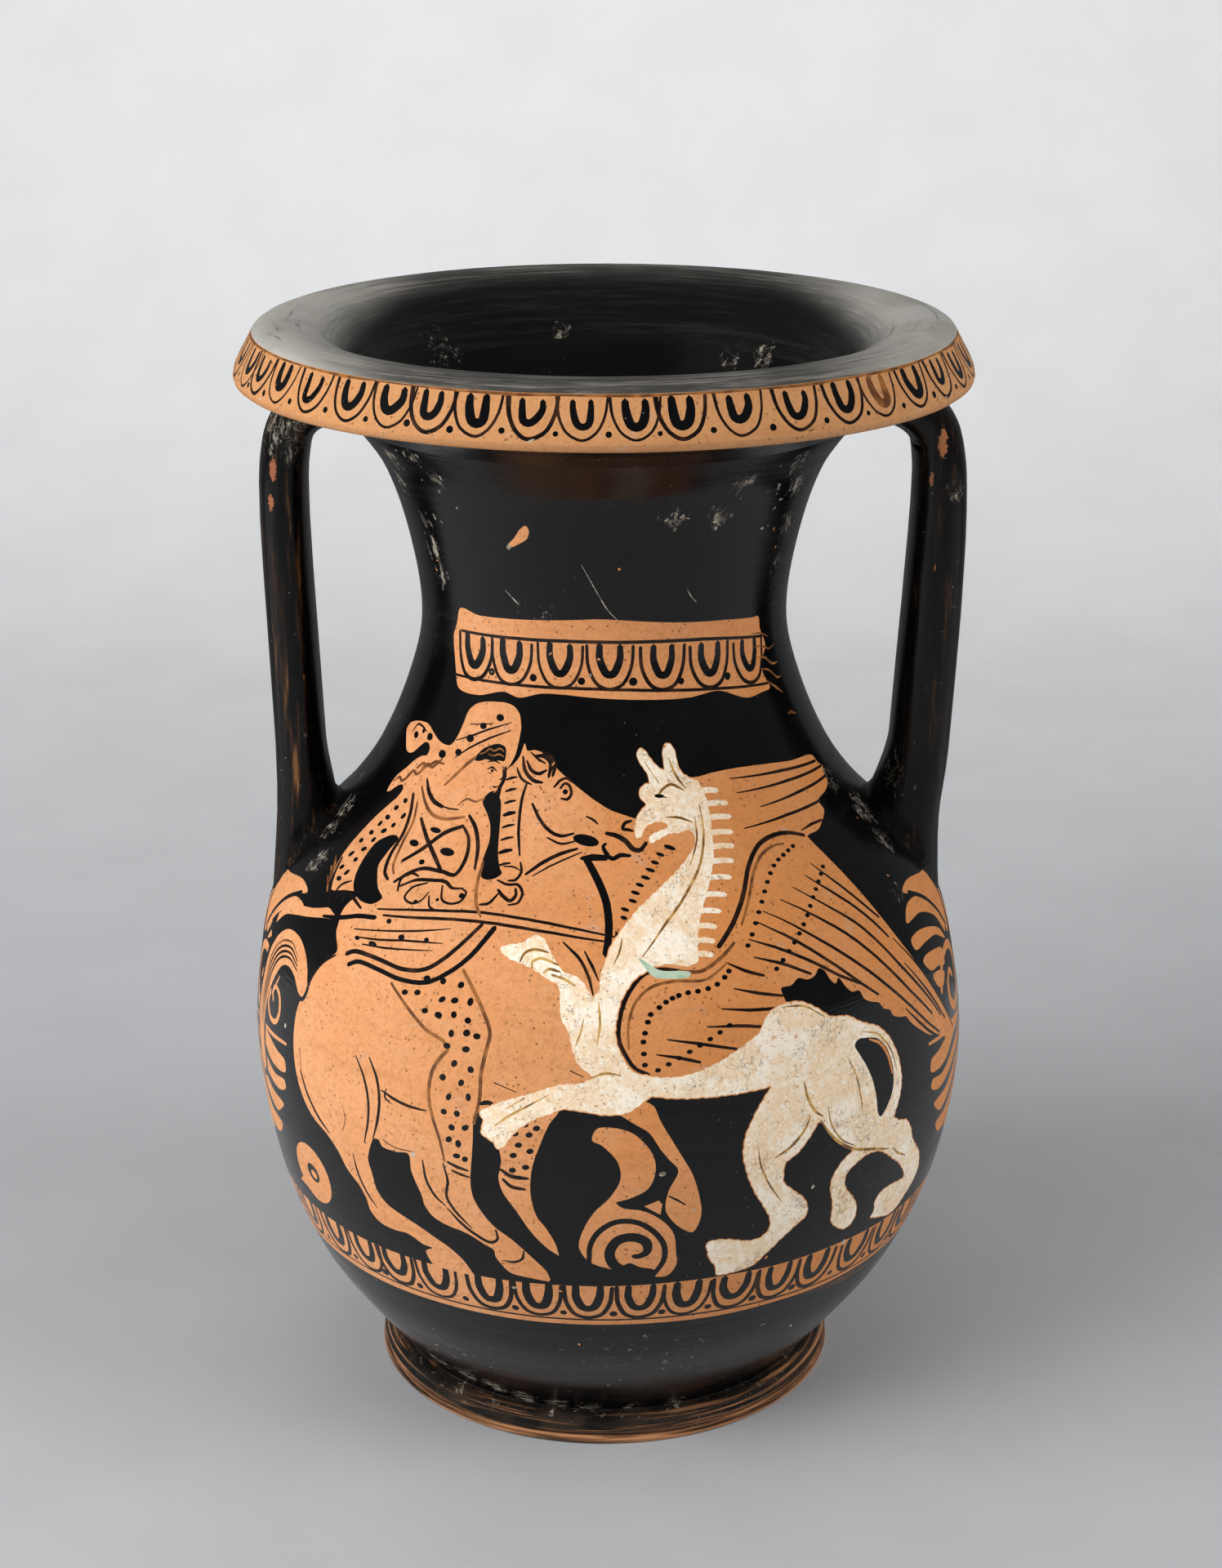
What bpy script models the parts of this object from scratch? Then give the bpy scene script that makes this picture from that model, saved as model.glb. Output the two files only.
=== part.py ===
"""A two-handled storage jar of the pelike shape, fired clay, about 34 cm tall.

The jar is one hollow solid: a turned foot, belly, neck and overhanging lip, and two upright
strap handles from under the lip down to the shoulder. It stands on the ring of its foot,
with +Z up, the painted front towards -Y and the handles along X.
"""

import bpy
import bmesh
import math

MM = 0.001

# Foot, in millimetres
FOOT_RADIUS = 74.0
FOOT_RING_INNER_RADIUS = 63.0
FOOT_HEIGHT = 8.8

# The foot's edge, a band, a groove and a ridge: (how far in from the foot's radius, height)
FOOT_EDGE = [
    (0.0, 0.0),
    (0.0, 1.7),
    (1.2, 2.4),
    (1.2, 3.4),
    (0.3, 4.6),
    (1.3, 5.9),
    (1.4, 7.1),
    (3.6, 8.8),
    (5.4, 8.9),
]

# The hollow under the foot, from its middle to the ring: (radius, height)
FOOT_RECESS = [
    (0.0, 10.5),
    (36.0, 9.75),
    (60.2, 8.2),
]

# Outer wall from the foot's joint to the flare under the lip: (height, radius)
WALL_STATIONS = [
    (8.4, 68.0),
    (12.0, 70.0),
    (19.0, 75.8),
    (26.5, 81.8),
    (46.4, 95.5),
    (75.0, 107.1),
    (112.5, 112.8),
    (143.6, 109.8),
    (161.0, 105.4),
    (176.7, 96.5),
    (193.3, 80.5),
    (207.7, 70.3),
    (230.0, 60.6),
    (250.0, 56.1),
    (274.0, 58.9),
    (298.2, 66.6),
    (313.7, 77.4),
]

# Lip: a slanting outer face with a rounded lower edge, undercut below
LIP_RADIUS = 110.6
LIP_WIDEST_HEIGHT = 325.8
LIP_EDGE_ROUNDING = 2.6
LIP_EDGE_FROM_ANGLE = -100.0
LIP_EDGE_TO_ANGLE = 20.0
LIP_EDGE_STEPS = 4
LIP_FACE_TOP = (104.9, 338.2)

# Underside of the lip, from the flare outwards: (radius, height)
LIP_UNDERSIDE = [
    (86.0, 319.6),
    (92.0, 322.8),
    (98.0, 324.0),
]

# Mouth: the top of the lip swells a little, then rolls down into the neck: (radius, height)
MOUTH_ROLL = [
    (103.6, 339.4),
    (98.0, 341.1),
    (90.0, 340.2),
    (83.0, 337.4),
    (77.0, 332.6),
    (71.5, 325.4),
    (66.0, 315.0),
    (60.6, 301.0),
    (57.0, 289.0),
]

# Thickness of the wall: (height, thickness)
WALL_THICKNESS = [
    (10.0, 7.5),
    (60.0, 5.4),
    (180.0, 5.4),
    (290.0, 5.2),
]
INNER_WALL_TOP = 277.0
INNER_WALL_FOOT = 27.5
INNER_FLOOR_HEIGHT = 18.5

# The rounded corner between the inner wall and the floor: (in from the wall, above the floor)
FLOOR_CORNER = [
    (8.1, 2.25),
    (23.4, 0.0),
]

# The belly swells a little more to one side than to the other
BELLY_LEAN = 1.5
BELLY_LEAN_HEIGHT = 92.0
BELLY_LEAN_SPREAD = 62.0

# Handles: (distance from the axis, height) along the middle of the strap, top to bottom
LEFT_HANDLE_PATH = [
    (66.0, 317.0),
    (75.0, 317.2),
    (83.0, 316.2),
    (90.2, 313.0),
    (94.6, 307.5),
    (96.8, 298.0),
    (97.4, 284.0),
    (96.8, 257.0),
    (95.6, 225.0),
    (95.0, 204.0),
    (95.2, 186.0),
    (96.6, 168.0),
    (98.0, 150.0),
]
RIGHT_HANDLE_PATH = [
    (66.0, 317.0),
    (76.0, 317.4),
    (86.0, 316.6),
    (94.2, 313.0),
    (99.2, 307.5),
    (101.4, 298.0),
    (101.9, 284.0),
    (101.1, 257.0),
    (99.4, 225.0),
    (98.2, 204.0),
    (96.2, 186.0),
    (96.3, 168.0),
    (97.5, 150.0),
]

# Strap thickness as seen from the front: (share of the way down, thickness)
LEFT_HANDLE_THICKNESS = [
    (0.0, 14.4),
    (0.44, 14.8),
    (1.0, 16.0),
]
RIGHT_HANDLE_THICKNESS = [
    (0.0, 12.8),
    (0.44, 17.8),
    (1.0, 18.6),
]
HANDLE_DEPTH = 27.0
HANDLE_SQUARENESS = 2.6

# The roots spread where they meet the wall: wider along Y, and thicker towards the jar
ROOT_SPREAD = 5.0
LOWER_ROOT_FILL = 2.0
UPPER_ROOT_SHARE = 0.2
LOWER_ROOT_SHARE = 0.69
ROOT_CURVE = 1.5

# The roots stop this share of a wall's thickness below the outer face
CORE_DEPTH = 0.6
CORE_LOWEST = 100.0
CORE_STEP = 8.0
CORE_TOP_RADIUS = 78.5
CORE_TOP_HEIGHT = 327.0

# Resolution
TURN_SEGMENTS = 60
FINE_STEP = 2.0
OUTSIDE_TOLERANCE = 0.25
INSIDE_TOLERANCE = 0.7
HANDLE_SIDES = 14
HANDLE_TOLERANCE = 0.2
CREASE_ANGLE = 40.0
ON_AXIS = 1e-6

CLAY_COLOUR = (0.020, 0.017, 0.016, 1.0)
CLAY_ROUGHNESS = 0.28


def clear_scene():
    for old in list(bpy.data.objects):
        bpy.data.objects.remove(old, do_unlink=True)


def glazed_clay():
    material = bpy.data.materials.new("black_gloss_clay")
    material.use_nodes = True
    shader = material.node_tree.nodes["Principled BSDF"]
    shader.inputs["Base Color"].default_value = CLAY_COLOUR
    shader.inputs["Roughness"].default_value = CLAY_ROUGHNESS
    shader.inputs["Metallic"].default_value = 0.0
    material.diffuse_color = CLAY_COLOUR
    return material


def smooth_value(stations, place):
    """Value at a place between stations (place, value), by a cubic that keeps their slopes."""
    last = len(stations) - 1
    index = 0
    while index < last - 1 and place > stations[index + 1][0]:
        index += 1
    slopes = []
    for i in (index, index + 1):
        low = stations[max(i - 1, 0)]
        high = stations[min(i + 1, last)]
        slopes.append((high[1] - low[1]) / (high[0] - low[0]))
    start, end = stations[index], stations[index + 1]
    span = end[0] - start[0]
    t = min(max((place - start[0]) / span, 0.0), 1.0)
    return (
        (2 * t**3 - 3 * t**2 + 1) * start[1]
        + (t**3 - 2 * t**2 + t) * span * slopes[0]
        + (3 * t**2 - 2 * t**3) * end[1]
        + (t**3 - t**2) * span * slopes[1]
    )


def thinned(points, tolerance):
    """The fewest of the points whose straight runs stay within a tolerance of the others."""
    kept = [points[0]]
    start = 0
    while start < len(points) - 1:
        end = start + 1
        while end + 1 < len(points) and bulge(points[start : end + 2]) <= tolerance:
            end += 1
        kept.append(points[end])
        start = end
    return kept


def bulge(points):
    """Farthest distance of any of the points from the straight line between the ends."""
    (x0, y0), (x1, y1) = points[0], points[-1]
    length = math.dist(points[0], points[-1])
    return max(abs((x1 - x0) * (y - y0) - (y1 - y0) * (x - x0)) / length for x, y in points)


def curve_through(points, step):
    """Points about a step apart on a smooth curve through a list of (x, y) points."""
    lengths = [0.0]
    for a, b in zip(points, points[1:]):
        lengths.append(lengths[-1] + math.dist(a, b))
    count = max(2, round(lengths[-1] / step))
    across = [(s, p[0]) for s, p in zip(lengths, points)]
    along = [(s, p[1]) for s, p in zip(lengths, points)]
    places = [lengths[-1] * i / count for i in range(count + 1)]
    return [(smooth_value(across, s), smooth_value(along, s)) for s in places]


def arc(centre, radius, start, end, count):
    """Points of an arc; angles in degrees from +X towards +Y."""
    points = []
    for i in range(count + 1):
        angle = math.radians(start + (end - start) * i / count)
        points.append((centre[0] + radius * math.cos(angle), centre[1] + radius * math.sin(angle)))
    return points


def foot_outline():
    """(radius, height) from the inner edge of the standing ring to the joint with the body."""
    edge = [(FOOT_RADIUS - inset, height) for inset, height in FOOT_EDGE]
    return [(FOOT_RING_INNER_RADIUS, 0.0)] + edge


def wall_outline():
    """(radius, height) up the outside from the joint to the flare under the lip."""
    stations = [(r, z) for z, r in WALL_STATIONS]
    return thinned(curve_through(stations, FINE_STEP), OUTSIDE_TOLERANCE)


def lip_outline():
    """(radius, height) from the flare, round the lip's lower edge, to its upper edge."""
    edge_centre = (LIP_RADIUS - LIP_EDGE_ROUNDING, LIP_WIDEST_HEIGHT)
    edge = arc(edge_centre, LIP_EDGE_ROUNDING, LIP_EDGE_FROM_ANGLE, LIP_EDGE_TO_ANGLE, LIP_EDGE_STEPS)
    return LIP_UNDERSIDE + edge + [LIP_FACE_TOP]


def wall_thickness(height):
    return smooth_value(WALL_THICKNESS, height)


def outer_radius(height):
    return smooth_value(WALL_STATIONS, height)


def inner_wall_outline():
    """(radius, height) down the inside of the neck and belly, a wall's thickness inside."""
    points = []
    height = INNER_WALL_TOP
    while height > INNER_WALL_FOOT:
        slope = outer_radius(height + 0.5) - outer_radius(height - 0.5)
        across = wall_thickness(height) * math.hypot(1.0, slope)
        points.append((outer_radius(height) - across, height))
        height -= FINE_STEP
    return thinned(points, INSIDE_TOLERANCE)


def inner_outline():
    """(radius, height) from the lip's top, down the inside, to the middle of the floor."""
    points = thinned(curve_through(MOUTH_ROLL, FINE_STEP), OUTSIDE_TOLERANCE)
    points += inner_wall_outline()
    wall_radius = points[-1][0]
    for inset, rise in FLOOR_CORNER:
        points.append((wall_radius - inset, INNER_FLOOR_HEIGHT + rise))
    points.append((0.0, INNER_FLOOR_HEIGHT))
    return points


def lean(height):
    """How far the turned shape's centre sits off the axis at a height."""
    return BELLY_LEAN * math.exp(-(((height - BELLY_LEAN_HEIGHT) / BELLY_LEAN_SPREAD) ** 2))


def turned_mesh(name, outline):
    """A closed solid turned about Z from an outline that starts and ends on the axis."""
    shape = bmesh.new()
    rings = []
    for radius, height in outline:
        shift = lean(height) if height > FOOT_HEIGHT else 0.0
        if radius < ON_AXIS:
            rings.append([shape.verts.new((shift * MM, 0.0, height * MM))])
            continue
        ring = []
        for i in range(TURN_SEGMENTS):
            angle = 2.0 * math.pi * i / TURN_SEGMENTS
            x = radius * math.cos(angle) + shift
            y = radius * math.sin(angle)
            ring.append(shape.verts.new((x * MM, y * MM, height * MM)))
        rings.append(ring)
    for lower, upper in zip(rings, rings[1:]):
        for i in range(TURN_SEGMENTS):
            j = (i + 1) % TURN_SEGMENTS
            if len(lower) == 1:
                shape.faces.new((lower[0], upper[i], upper[j]))
            elif len(upper) == 1:
                shape.faces.new((lower[i], lower[j], upper[0]))
            else:
                shape.faces.new((lower[i], lower[j], upper[j], upper[i]))
    bmesh.ops.recalc_face_normals(shape, faces=shape.faces)
    mesh = bpy.data.meshes.new(name)
    shape.to_mesh(mesh)
    shape.free()
    return mesh


def vessel_outline():
    """(radius, height) once round the whole cut face of the turned jar, from axis to axis."""
    outside = foot_outline() + wall_outline() + lip_outline()
    return FOOT_RECESS + outside + inner_outline()


def root_core_outline():
    """The space inside the middle of the wall, where the handles' roots stop."""
    outline = [(0.0, CORE_LOWEST)]
    height = CORE_LOWEST
    while height <= WALL_STATIONS[-1][0]:
        outline.append((outer_radius(height) - CORE_DEPTH * wall_thickness(height), height))
        height += CORE_STEP
    outline.append((CORE_TOP_RADIUS, CORE_TOP_HEIGHT))
    outline.append((0.0, CORE_TOP_HEIGHT))
    return outline


def strap_section(half_thickness, half_depth):
    """(across, deep) points of the strap's rounded section."""
    points = []
    power = 2.0 / HANDLE_SQUARENESS
    for i in range(HANDLE_SIDES):
        angle = 2.0 * math.pi * (i + 0.5) / HANDLE_SIDES
        c, s = math.cos(angle), math.sin(angle)
        across = math.copysign(abs(c) ** power, c) * half_thickness
        deep = math.copysign(abs(s) ** power, s) * half_depth
        points.append((across, deep))
    return points


def handle_shape(side, path, thickness):
    """One upright strap, swept along its path in the plane of the axis; side is -1 or 1."""
    shape = bmesh.new()
    stations = thinned(curve_through(path, FINE_STEP), HANDLE_TOLERANCE)
    length = sum(math.dist(a, b) for a, b in zip(stations, stations[1:]))
    travelled = 0.0
    rings = []
    for i, (reach, height) in enumerate(stations):
        before = stations[max(i - 1, 0)]
        after = stations[min(i + 1, len(stations) - 1)]
        run = math.dist(before, after)
        outward = ((before[1] - after[1]) / run, (after[0] - before[0]) / run)
        travelled += math.dist(stations[i - 1], stations[i]) if i else 0.0
        share = travelled / length
        across = smooth_value(thickness, share)
        upper_root = max(0.0, 1.0 - share / UPPER_ROOT_SHARE) ** ROOT_CURVE
        lower_root = max(0.0, (share - LOWER_ROOT_SHARE) / (1.0 - LOWER_ROOT_SHARE)) ** ROOT_CURVE
        half_depth = 0.5 * HANDLE_DEPTH + ROOT_SPREAD * max(upper_root, lower_root)
        ring = []
        for u, v in strap_section(0.5 * across, half_depth):
            if u < 0.0:
                u *= 1.0 + LOWER_ROOT_FILL * lower_root
            x = side * (reach + u * outward[0])
            z = height + u * outward[1]
            ring.append(shape.verts.new((x * MM, v * MM, z * MM)))
        rings.append(ring)
    for first, second in zip(rings, rings[1:]):
        for i in range(HANDLE_SIDES):
            j = (i + 1) % HANDLE_SIDES
            shape.faces.new((first[i], first[j], second[j], second[i]))
    shape.faces.new(rings[0])
    shape.faces.new(list(reversed(rings[-1])))
    bmesh.ops.recalc_face_normals(shape, faces=shape.faces)
    return shape


def handles_object():
    """Both handles as one guide shape, cut back to the middle of the wall at their roots."""
    mesh = bpy.data.meshes.new("handle_pair")
    both = bmesh.new()
    for side, path, thickness in (
        (-1, LEFT_HANDLE_PATH, LEFT_HANDLE_THICKNESS),
        (1, RIGHT_HANDLE_PATH, RIGHT_HANDLE_THICKNESS),
    ):
        one = handle_shape(side, path, thickness)
        one.to_mesh(mesh)
        one.free()
        both.from_mesh(mesh)
    both.to_mesh(mesh)
    both.free()
    pair = as_guide("handle_pair", mesh)
    core = as_guide("root_core", turned_mesh("root_core", root_core_outline()))
    add_boolean(pair, "roots_stop_in_the_wall", "DIFFERENCE", core)
    return pair


def as_guide(name, mesh):
    guide = bpy.data.objects.new(name, mesh)
    bpy.context.scene.collection.objects.link(guide)
    guide.hide_render = True
    guide.display_type = "WIRE"
    return guide


def remove_guides():
    for guide in list(bpy.data.objects):
        if guide.hide_render:
            bpy.data.objects.remove(guide, do_unlink=True)


def add_boolean(target, name, operation, tool):
    modifier = target.modifiers.new(name, "BOOLEAN")
    modifier.operation = operation
    modifier.solver = "EXACT"
    modifier.object = tool


def joined_mesh(jar):
    """The jar's mesh with its handles joined on, smooth but for its creases."""
    evaluated = jar.evaluated_get(bpy.context.evaluated_depsgraph_get())
    mesh = bpy.data.meshes.new_from_object(evaluated)
    mesh.name = "pelike"
    mesh.shade_smooth()
    mesh.set_sharp_from_angle(angle=math.radians(CREASE_ANGLE))
    return mesh


def make_pelike():
    jar = bpy.data.objects.new("pelike", turned_mesh("turned_jar", vessel_outline()))
    bpy.context.scene.collection.objects.link(jar)
    jar.data.materials.append(glazed_clay())
    add_boolean(jar, "handles_joined", "UNION", handles_object())
    jar.data = joined_mesh(jar)
    jar.modifiers.clear()
    remove_guides()


clear_scene()
make_pelike()
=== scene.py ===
"""The looks of a painted pelike: a black-gloss clay jar with a rider and a griffin on its front.

The jar's wall is one closed mesh. Its painted zones are laid flat, x round the belly and z up, both
in millimetres, drawn there with outlines and brush strokes, cut into triangles along them, and then
wrapped back onto the turned wall, so that every edge of the paint is crisp and nothing is raised.
"""

import math
import random

import bmesh
import bpy
import numpy as np
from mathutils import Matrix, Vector
from mathutils.geometry import delaunay_2d_cdt


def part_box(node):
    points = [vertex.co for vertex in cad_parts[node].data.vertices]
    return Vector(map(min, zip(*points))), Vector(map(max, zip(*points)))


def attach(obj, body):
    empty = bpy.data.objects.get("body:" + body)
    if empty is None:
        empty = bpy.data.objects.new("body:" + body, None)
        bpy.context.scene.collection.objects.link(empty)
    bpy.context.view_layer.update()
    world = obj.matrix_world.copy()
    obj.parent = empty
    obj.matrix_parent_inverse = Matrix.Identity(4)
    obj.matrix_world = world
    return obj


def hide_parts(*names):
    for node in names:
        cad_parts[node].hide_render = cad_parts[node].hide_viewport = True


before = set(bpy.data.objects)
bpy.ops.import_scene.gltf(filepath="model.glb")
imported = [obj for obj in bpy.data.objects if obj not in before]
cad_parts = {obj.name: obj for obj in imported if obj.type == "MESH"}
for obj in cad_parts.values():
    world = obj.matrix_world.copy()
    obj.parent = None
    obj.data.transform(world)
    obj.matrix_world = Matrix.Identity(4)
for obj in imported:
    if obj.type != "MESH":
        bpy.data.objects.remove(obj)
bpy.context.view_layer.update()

# The jar is drawn in millimetres at this height, and scaled to the frame's
DRAWN_HEIGHT = 341.1
FRAME_LOW, FRAME_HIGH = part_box("pelike")
MM = (FRAME_HIGH.z - FRAME_LOW.z) / DRAWN_HEIGHT

# Outer wall from the foot's joint to the flare under the lip: (height, radius)
WALL = [
    (8.4, 68.0),
    (12.0, 70.0),
    (19.0, 75.8),
    (26.5, 81.8),
    (46.4, 95.5),
    (75.0, 107.1),
    (112.5, 112.8),
    (143.6, 109.8),
    (161.0, 105.4),
    (176.7, 96.5),
    (193.3, 80.5),
    (207.7, 70.3),
    (230.0, 60.6),
    (250.0, 56.1),
    (274.0, 58.9),
    (298.2, 66.6),
    (313.7, 77.4),
]
PAINTED_FROM = 9.4
PAINTED_TO = 312.0

# Outer face of the lip, from its widest ring to its upper edge: (height, radius)
LIP_FACE = [
    (325.8, 110.6),
    (328.1, 110.1),
    (330.9, 108.8),
    (333.6, 107.3),
    (336.4, 105.8),
    (338.4, 104.7),
]

# Under the foot: recess, standing ring, bands and grooves: (radius, height, crease)
UNDERSIDE_MIDDLE = 10.5
FOOT_RINGS = [
    (12.0, 10.4, False),
    (36.0, 9.75, False),
    (59.6, 8.3, False),
    (60.6, 7.4, False),
    (62.8, 0.7, False),
    (63.6, 0.0, False),
    (73.3, 0.0, False),
    (74.0, 0.5, False),
    (73.9, 1.6, False),
    (73.2, 2.1, False),
    (72.8, 2.6, False),
    (72.8, 3.3, False),
    (73.4, 4.0, False),
    (73.7, 4.6, False),
    (73.3, 5.3, False),
    (72.7, 5.9, False),
    (72.8, 6.5, False),
    (72.5, 7.2, False),
    (71.4, 8.2, False),
    (70.2, 8.8, False),
    (68.9, 8.9, True),
    (68.3, 9.0, False),
]

# Underside of the lip and its rounded lower edge: (radius, height)
UNDER_LIP = [
    (80.0, 315.6),
    (83.0, 317.8),
    (86.0, 319.6),
    (89.0, 321.3),
    (92.0, 322.7),
    (98.0, 323.9),
    (104.0, 323.6),
    (107.5, 323.2),
    (109.0, 323.5),
    (110.2, 324.4),
]

# From the lip's upper edge over its top, down the neck and round the inside to the floor
MOUTH = [
    (104.1, 339.1),
    (103.0, 339.8),
    (101.0, 340.5),
    (98.0, 341.1),
    (94.0, 341.0),
    (90.0, 340.2),
    (86.5, 339.0),
    (83.0, 337.4),
    (80.0, 335.3),
    (77.0, 332.6),
    (74.1, 329.3),
    (71.5, 325.4),
    (68.6, 320.4),
    (66.0, 315.0),
    (63.2, 308.4),
    (60.6, 301.0),
    (57.0, 289.0),
]
INSIDE_FLOOR = [(69.0, 25.0), (61.0, 20.8), (46.0, 18.5), (20.0, 18.5)]
INSIDE_FROM = 277.0
INSIDE_TO = 31.0
WALL_THICKNESS = [(10.0, 7.5), (60.0, 5.4), (180.0, 5.4), (290.0, 5.2)]

# How the runs under the foot and under the lip are painted, and how far down the mouth is black
FOOT_BARE_RUNS = 4
LIP_CLAY_RUNS = 4
# Above this height the lip's top and mouth take the rubbed black with its painted sheen.
WORN_AND_SHEEN_ABOVE = 322.0
GLOSS_INSIDE_ABOVE = 262.0
INSIDE_RINGS = 42

# Steps from the last egg seen at the right to the first at the left, round the back
LIP_EGGS_BEHIND = 26
GROUND_EGGS_BEHIND = 29
LIP_HOOK_ARM = 2.9
LIP_WORN_EGGS = (88,)
LIP_SPECKS = 40
WALL_SPECKS = 26

# Handles: (distance from the axis, height) along the middle of the strap, top to bottom
LEFT_HANDLE_PATH = [
    (66.0, 317.0),
    (75.0, 317.2),
    (83.0, 316.2),
    (90.2, 313.0),
    (94.6, 307.5),
    (96.8, 298.0),
    (97.4, 284.0),
    (96.8, 257.0),
    (95.6, 225.0),
    (95.0, 204.0),
    (95.2, 186.0),
    (96.6, 168.0),
    (98.0, 150.0),
]
RIGHT_HANDLE_PATH = [
    (66.0, 317.0),
    (76.0, 317.4),
    (86.0, 316.6),
    (94.2, 313.0),
    (99.2, 307.5),
    (101.4, 298.0),
    (101.9, 284.0),
    (101.1, 257.0),
    (99.4, 225.0),
    (98.2, 204.0),
    (96.2, 186.0),
    (96.3, 168.0),
    (97.5, 150.0),
]

# Strap thickness as seen from the front: (share of the way down, thickness)
LEFT_HANDLE_THICKNESS = [(0.0, 14.4), (0.44, 14.8), (1.0, 16.0)]
RIGHT_HANDLE_THICKNESS = [(0.0, 12.8), (0.44, 17.8), (1.0, 18.6)]
HANDLE_DEPTH = 27.0
HANDLE_SQUARENESS = 2.6
HANDLE_SIDES = 40
HANDLE_STARTS_AT = 0.03

# The wall that the handles can meet: from this height, up to the last ring where the lip still rises
HANDLE_WALL_FROM = 100.0
RISING_LIP_RINGS = 6

# Shares of the way down a handle: steps at its roots and between them, and where the roots are
ROOT_STEP = 0.004
STRAP_STEP = 0.015
FINE_STEPS_FROM = 0.66
UPPER_ROOT_SHARE = 0.2
LOWER_ROOT_SHARE = 0.69

# How a handle's roots widen, sink into the wall and round off against it
ROOT_SPREAD = 5.0
LOWER_ROOT_FILL = 2.0
ROOT_CURVE = 1.5
ROOT_DEPTH = 2.6
SIDE_FILLET = 4.0
CROTCH_FILLET = 2.0

# Crust and chips on the handles, by side: place, reach and thickness; place and reach
HANDLE_CRUST = {
    -1: [
        ((-96, -14, 311), 13, 1.0),
        ((-92, -13, 303), 9, 0.8),
        ((-101, -13, 303), 8, 0.6),
        ((-91, -12, 216), 8, 0.4),
        ((-92, -8, 196), 12, 0.4),
        ((-90, 10, 190), 18, 0.6),
    ],
    1: [
        ((86, -10, 318), 10, 0.4),
        ((106, -12, 291), 7, 0.7),
        ((92, -8, 200), 14, 0.6),
        ((90, 10, 190), 18, 0.6),
    ],
}
HANDLE_CHIPS = {
    -1: [((-99, -13, 297), 3.4), ((-100, -13, 287), 2.6), ((-92, -13, 232), 1.2)],
    1: [((101, -13, 305), 4.4), ((98, -13, 294), 2.2), ((100, -13, 267), 1.3)],
}

# Floor and backdrop, in metres: the backdrop starts at the floor's back and curves up farther behind
FLOOR_FRONT = 1.6
FLOOR_BACK = 0.3
FLOOR_HALF_WIDTH = 1.9
SWEEP_FROM = 0.75
SWEEP_RADIUS = 0.6
SWEEP_STEPS = 24
BACKDROP_HEIGHT = 2.2

# Camera, in metres, degrees and millimetres of film
CAMERA_PLACE = (0.00179, -0.8594, 0.4908)
CAMERA_TILT = 70.89
CAMERA_LENS = 85.04
CAMERA_SENSOR = 36.0
CAMERA_SHIFT = 0.0008

# Lamps: name, place, what it faces, size, power, and whether it is mirrored in the gloss
SOFTBOXES = [
    ("key", (-1.4, -0.78, 0.8), (0.0, 0.0, 0.18), (1.3, 1.3), 34.0, False),
    ("sheen", (-1.5, -0.5, 0.9), (0.0, 0.0, 0.18), (1.2, 1.6), 0.8, True),
    ("top", (-0.3, -0.3, 1.9), (0.0, 0.0, 0.1), (1.4, 1.4), 6.5, False),
    ("fill", (1.65, -0.6, 1.0), (0.0, 0.0, 0.2), (1.0, 1.4), 21.0, False),
    ("backdrop_light", (0.0, 0.2, 1.7), (0.0, 1.2, 0.5), (2.0, 0.4), 6.6, False),
]
BACKDROP_BEAM = 76.0
BACKDROP_GLOW = (1.0, 0.975, 0.94)
SURROUND_COLOUR = (0.95, 0.98, 1.0, 1.0)
SURROUND_STRENGTH = 0.12

# The belly swells a little more to one side
BELLY_LEAN = 1.5
BELLY_LEAN_HEIGHT = 92.0
BELLY_LEAN_SPREAD = 62.0
LEAN_FROM_HEIGHT = 8.8

# x on the flat drawing is measured round the belly, where a full turn is 709 mm
BELLY_RADIUS = 112.8
HALF_TURN = math.pi * BELLY_RADIUS
COLUMNS = 240
ROW_STEP = 3.0
CURVE_STEP = 0.9
CURVE_TOLERANCE = 0.045

ON_AXIS = 1e-6
ON_THE_EDGE = 0.001
EDGE_INSET = 0.05
MAP_MARGIN = 0.01

# The mantled figures of the back: where they stand, and their size
MANTLE_FEET = 75.4
MANTLE_SCALE = 0.88
MANTLE_WIDTH = 1.05

# Patches of crust on the wall: x and z on the flat drawing, reach, and how thick it lies
CRUST_PATCHES = [
    (36, 294, 7, 0.7),
    (60, 293, 7, 0.9),
    (70, 303, 8, 0.8),
    (103, 307, 9, 0.8),
    (114, 298, 9, 0.9),
    (122, 285, 9, 0.8),
    (121, 273, 7, 0.5),
    (-94, 309, 7, 0.7),
    (-86, 303, 7, 0.8),
    (-118, 306, 8, 0.9),
    (-127, 297, 8, 0.8),
    (-115, 286, 7, 0.6),
    (-113, 278, 8, 0.9),
    (-111, 270, 7, 0.7),
    (-168, 199, 7, 0.6),
    (-156, 220, 9, 0.5),
    (-153, 192, 8, 0.9),
    (-148, 186, 7, 0.9),
    (-137, 180, 9, 0.9),
    (140, 203, 9, 0.7),
    (151, 192, 10, 1.0),
    (143, 184, 9, 0.8),
    (126, 173, 8, 0.5),
    (-40, 262, 12, 0.25),
    (20, 40, 40, 0.3),
    (-60, 30, 30, 0.3),
    (330, 190, 50, 0.4),
    (-150, 110, 30, 0.4),
    (150, 100, 30, 0.4),
]
FOOT_CRUST = [
    (-90, 17, 8, 1.0),
    (-73, 16, 8, 1.0),
    (-57, 14, 8, 0.9),
    (-42, 12, 8, 0.9),
    (-25, 11, 7, 0.8),
    (-8, 10, 7, 0.8),
    (14, 10, 7, 0.6),
    (36, 10, 7, 0.7),
    (120, 12, 9, 0.8),
    (240, 12, 30, 0.6),
]

# Crust inside the mouth: place, reach and thickness
MOUTH_CRUST = [
    ((-14, 69, 324), 5, 0.9),
    ((-52, 47, 322), 13, 0.5),
    ((50, 46, 320), 9, 0.8),
    ((40, 54, 318), 8, 0.6),
]
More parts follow.
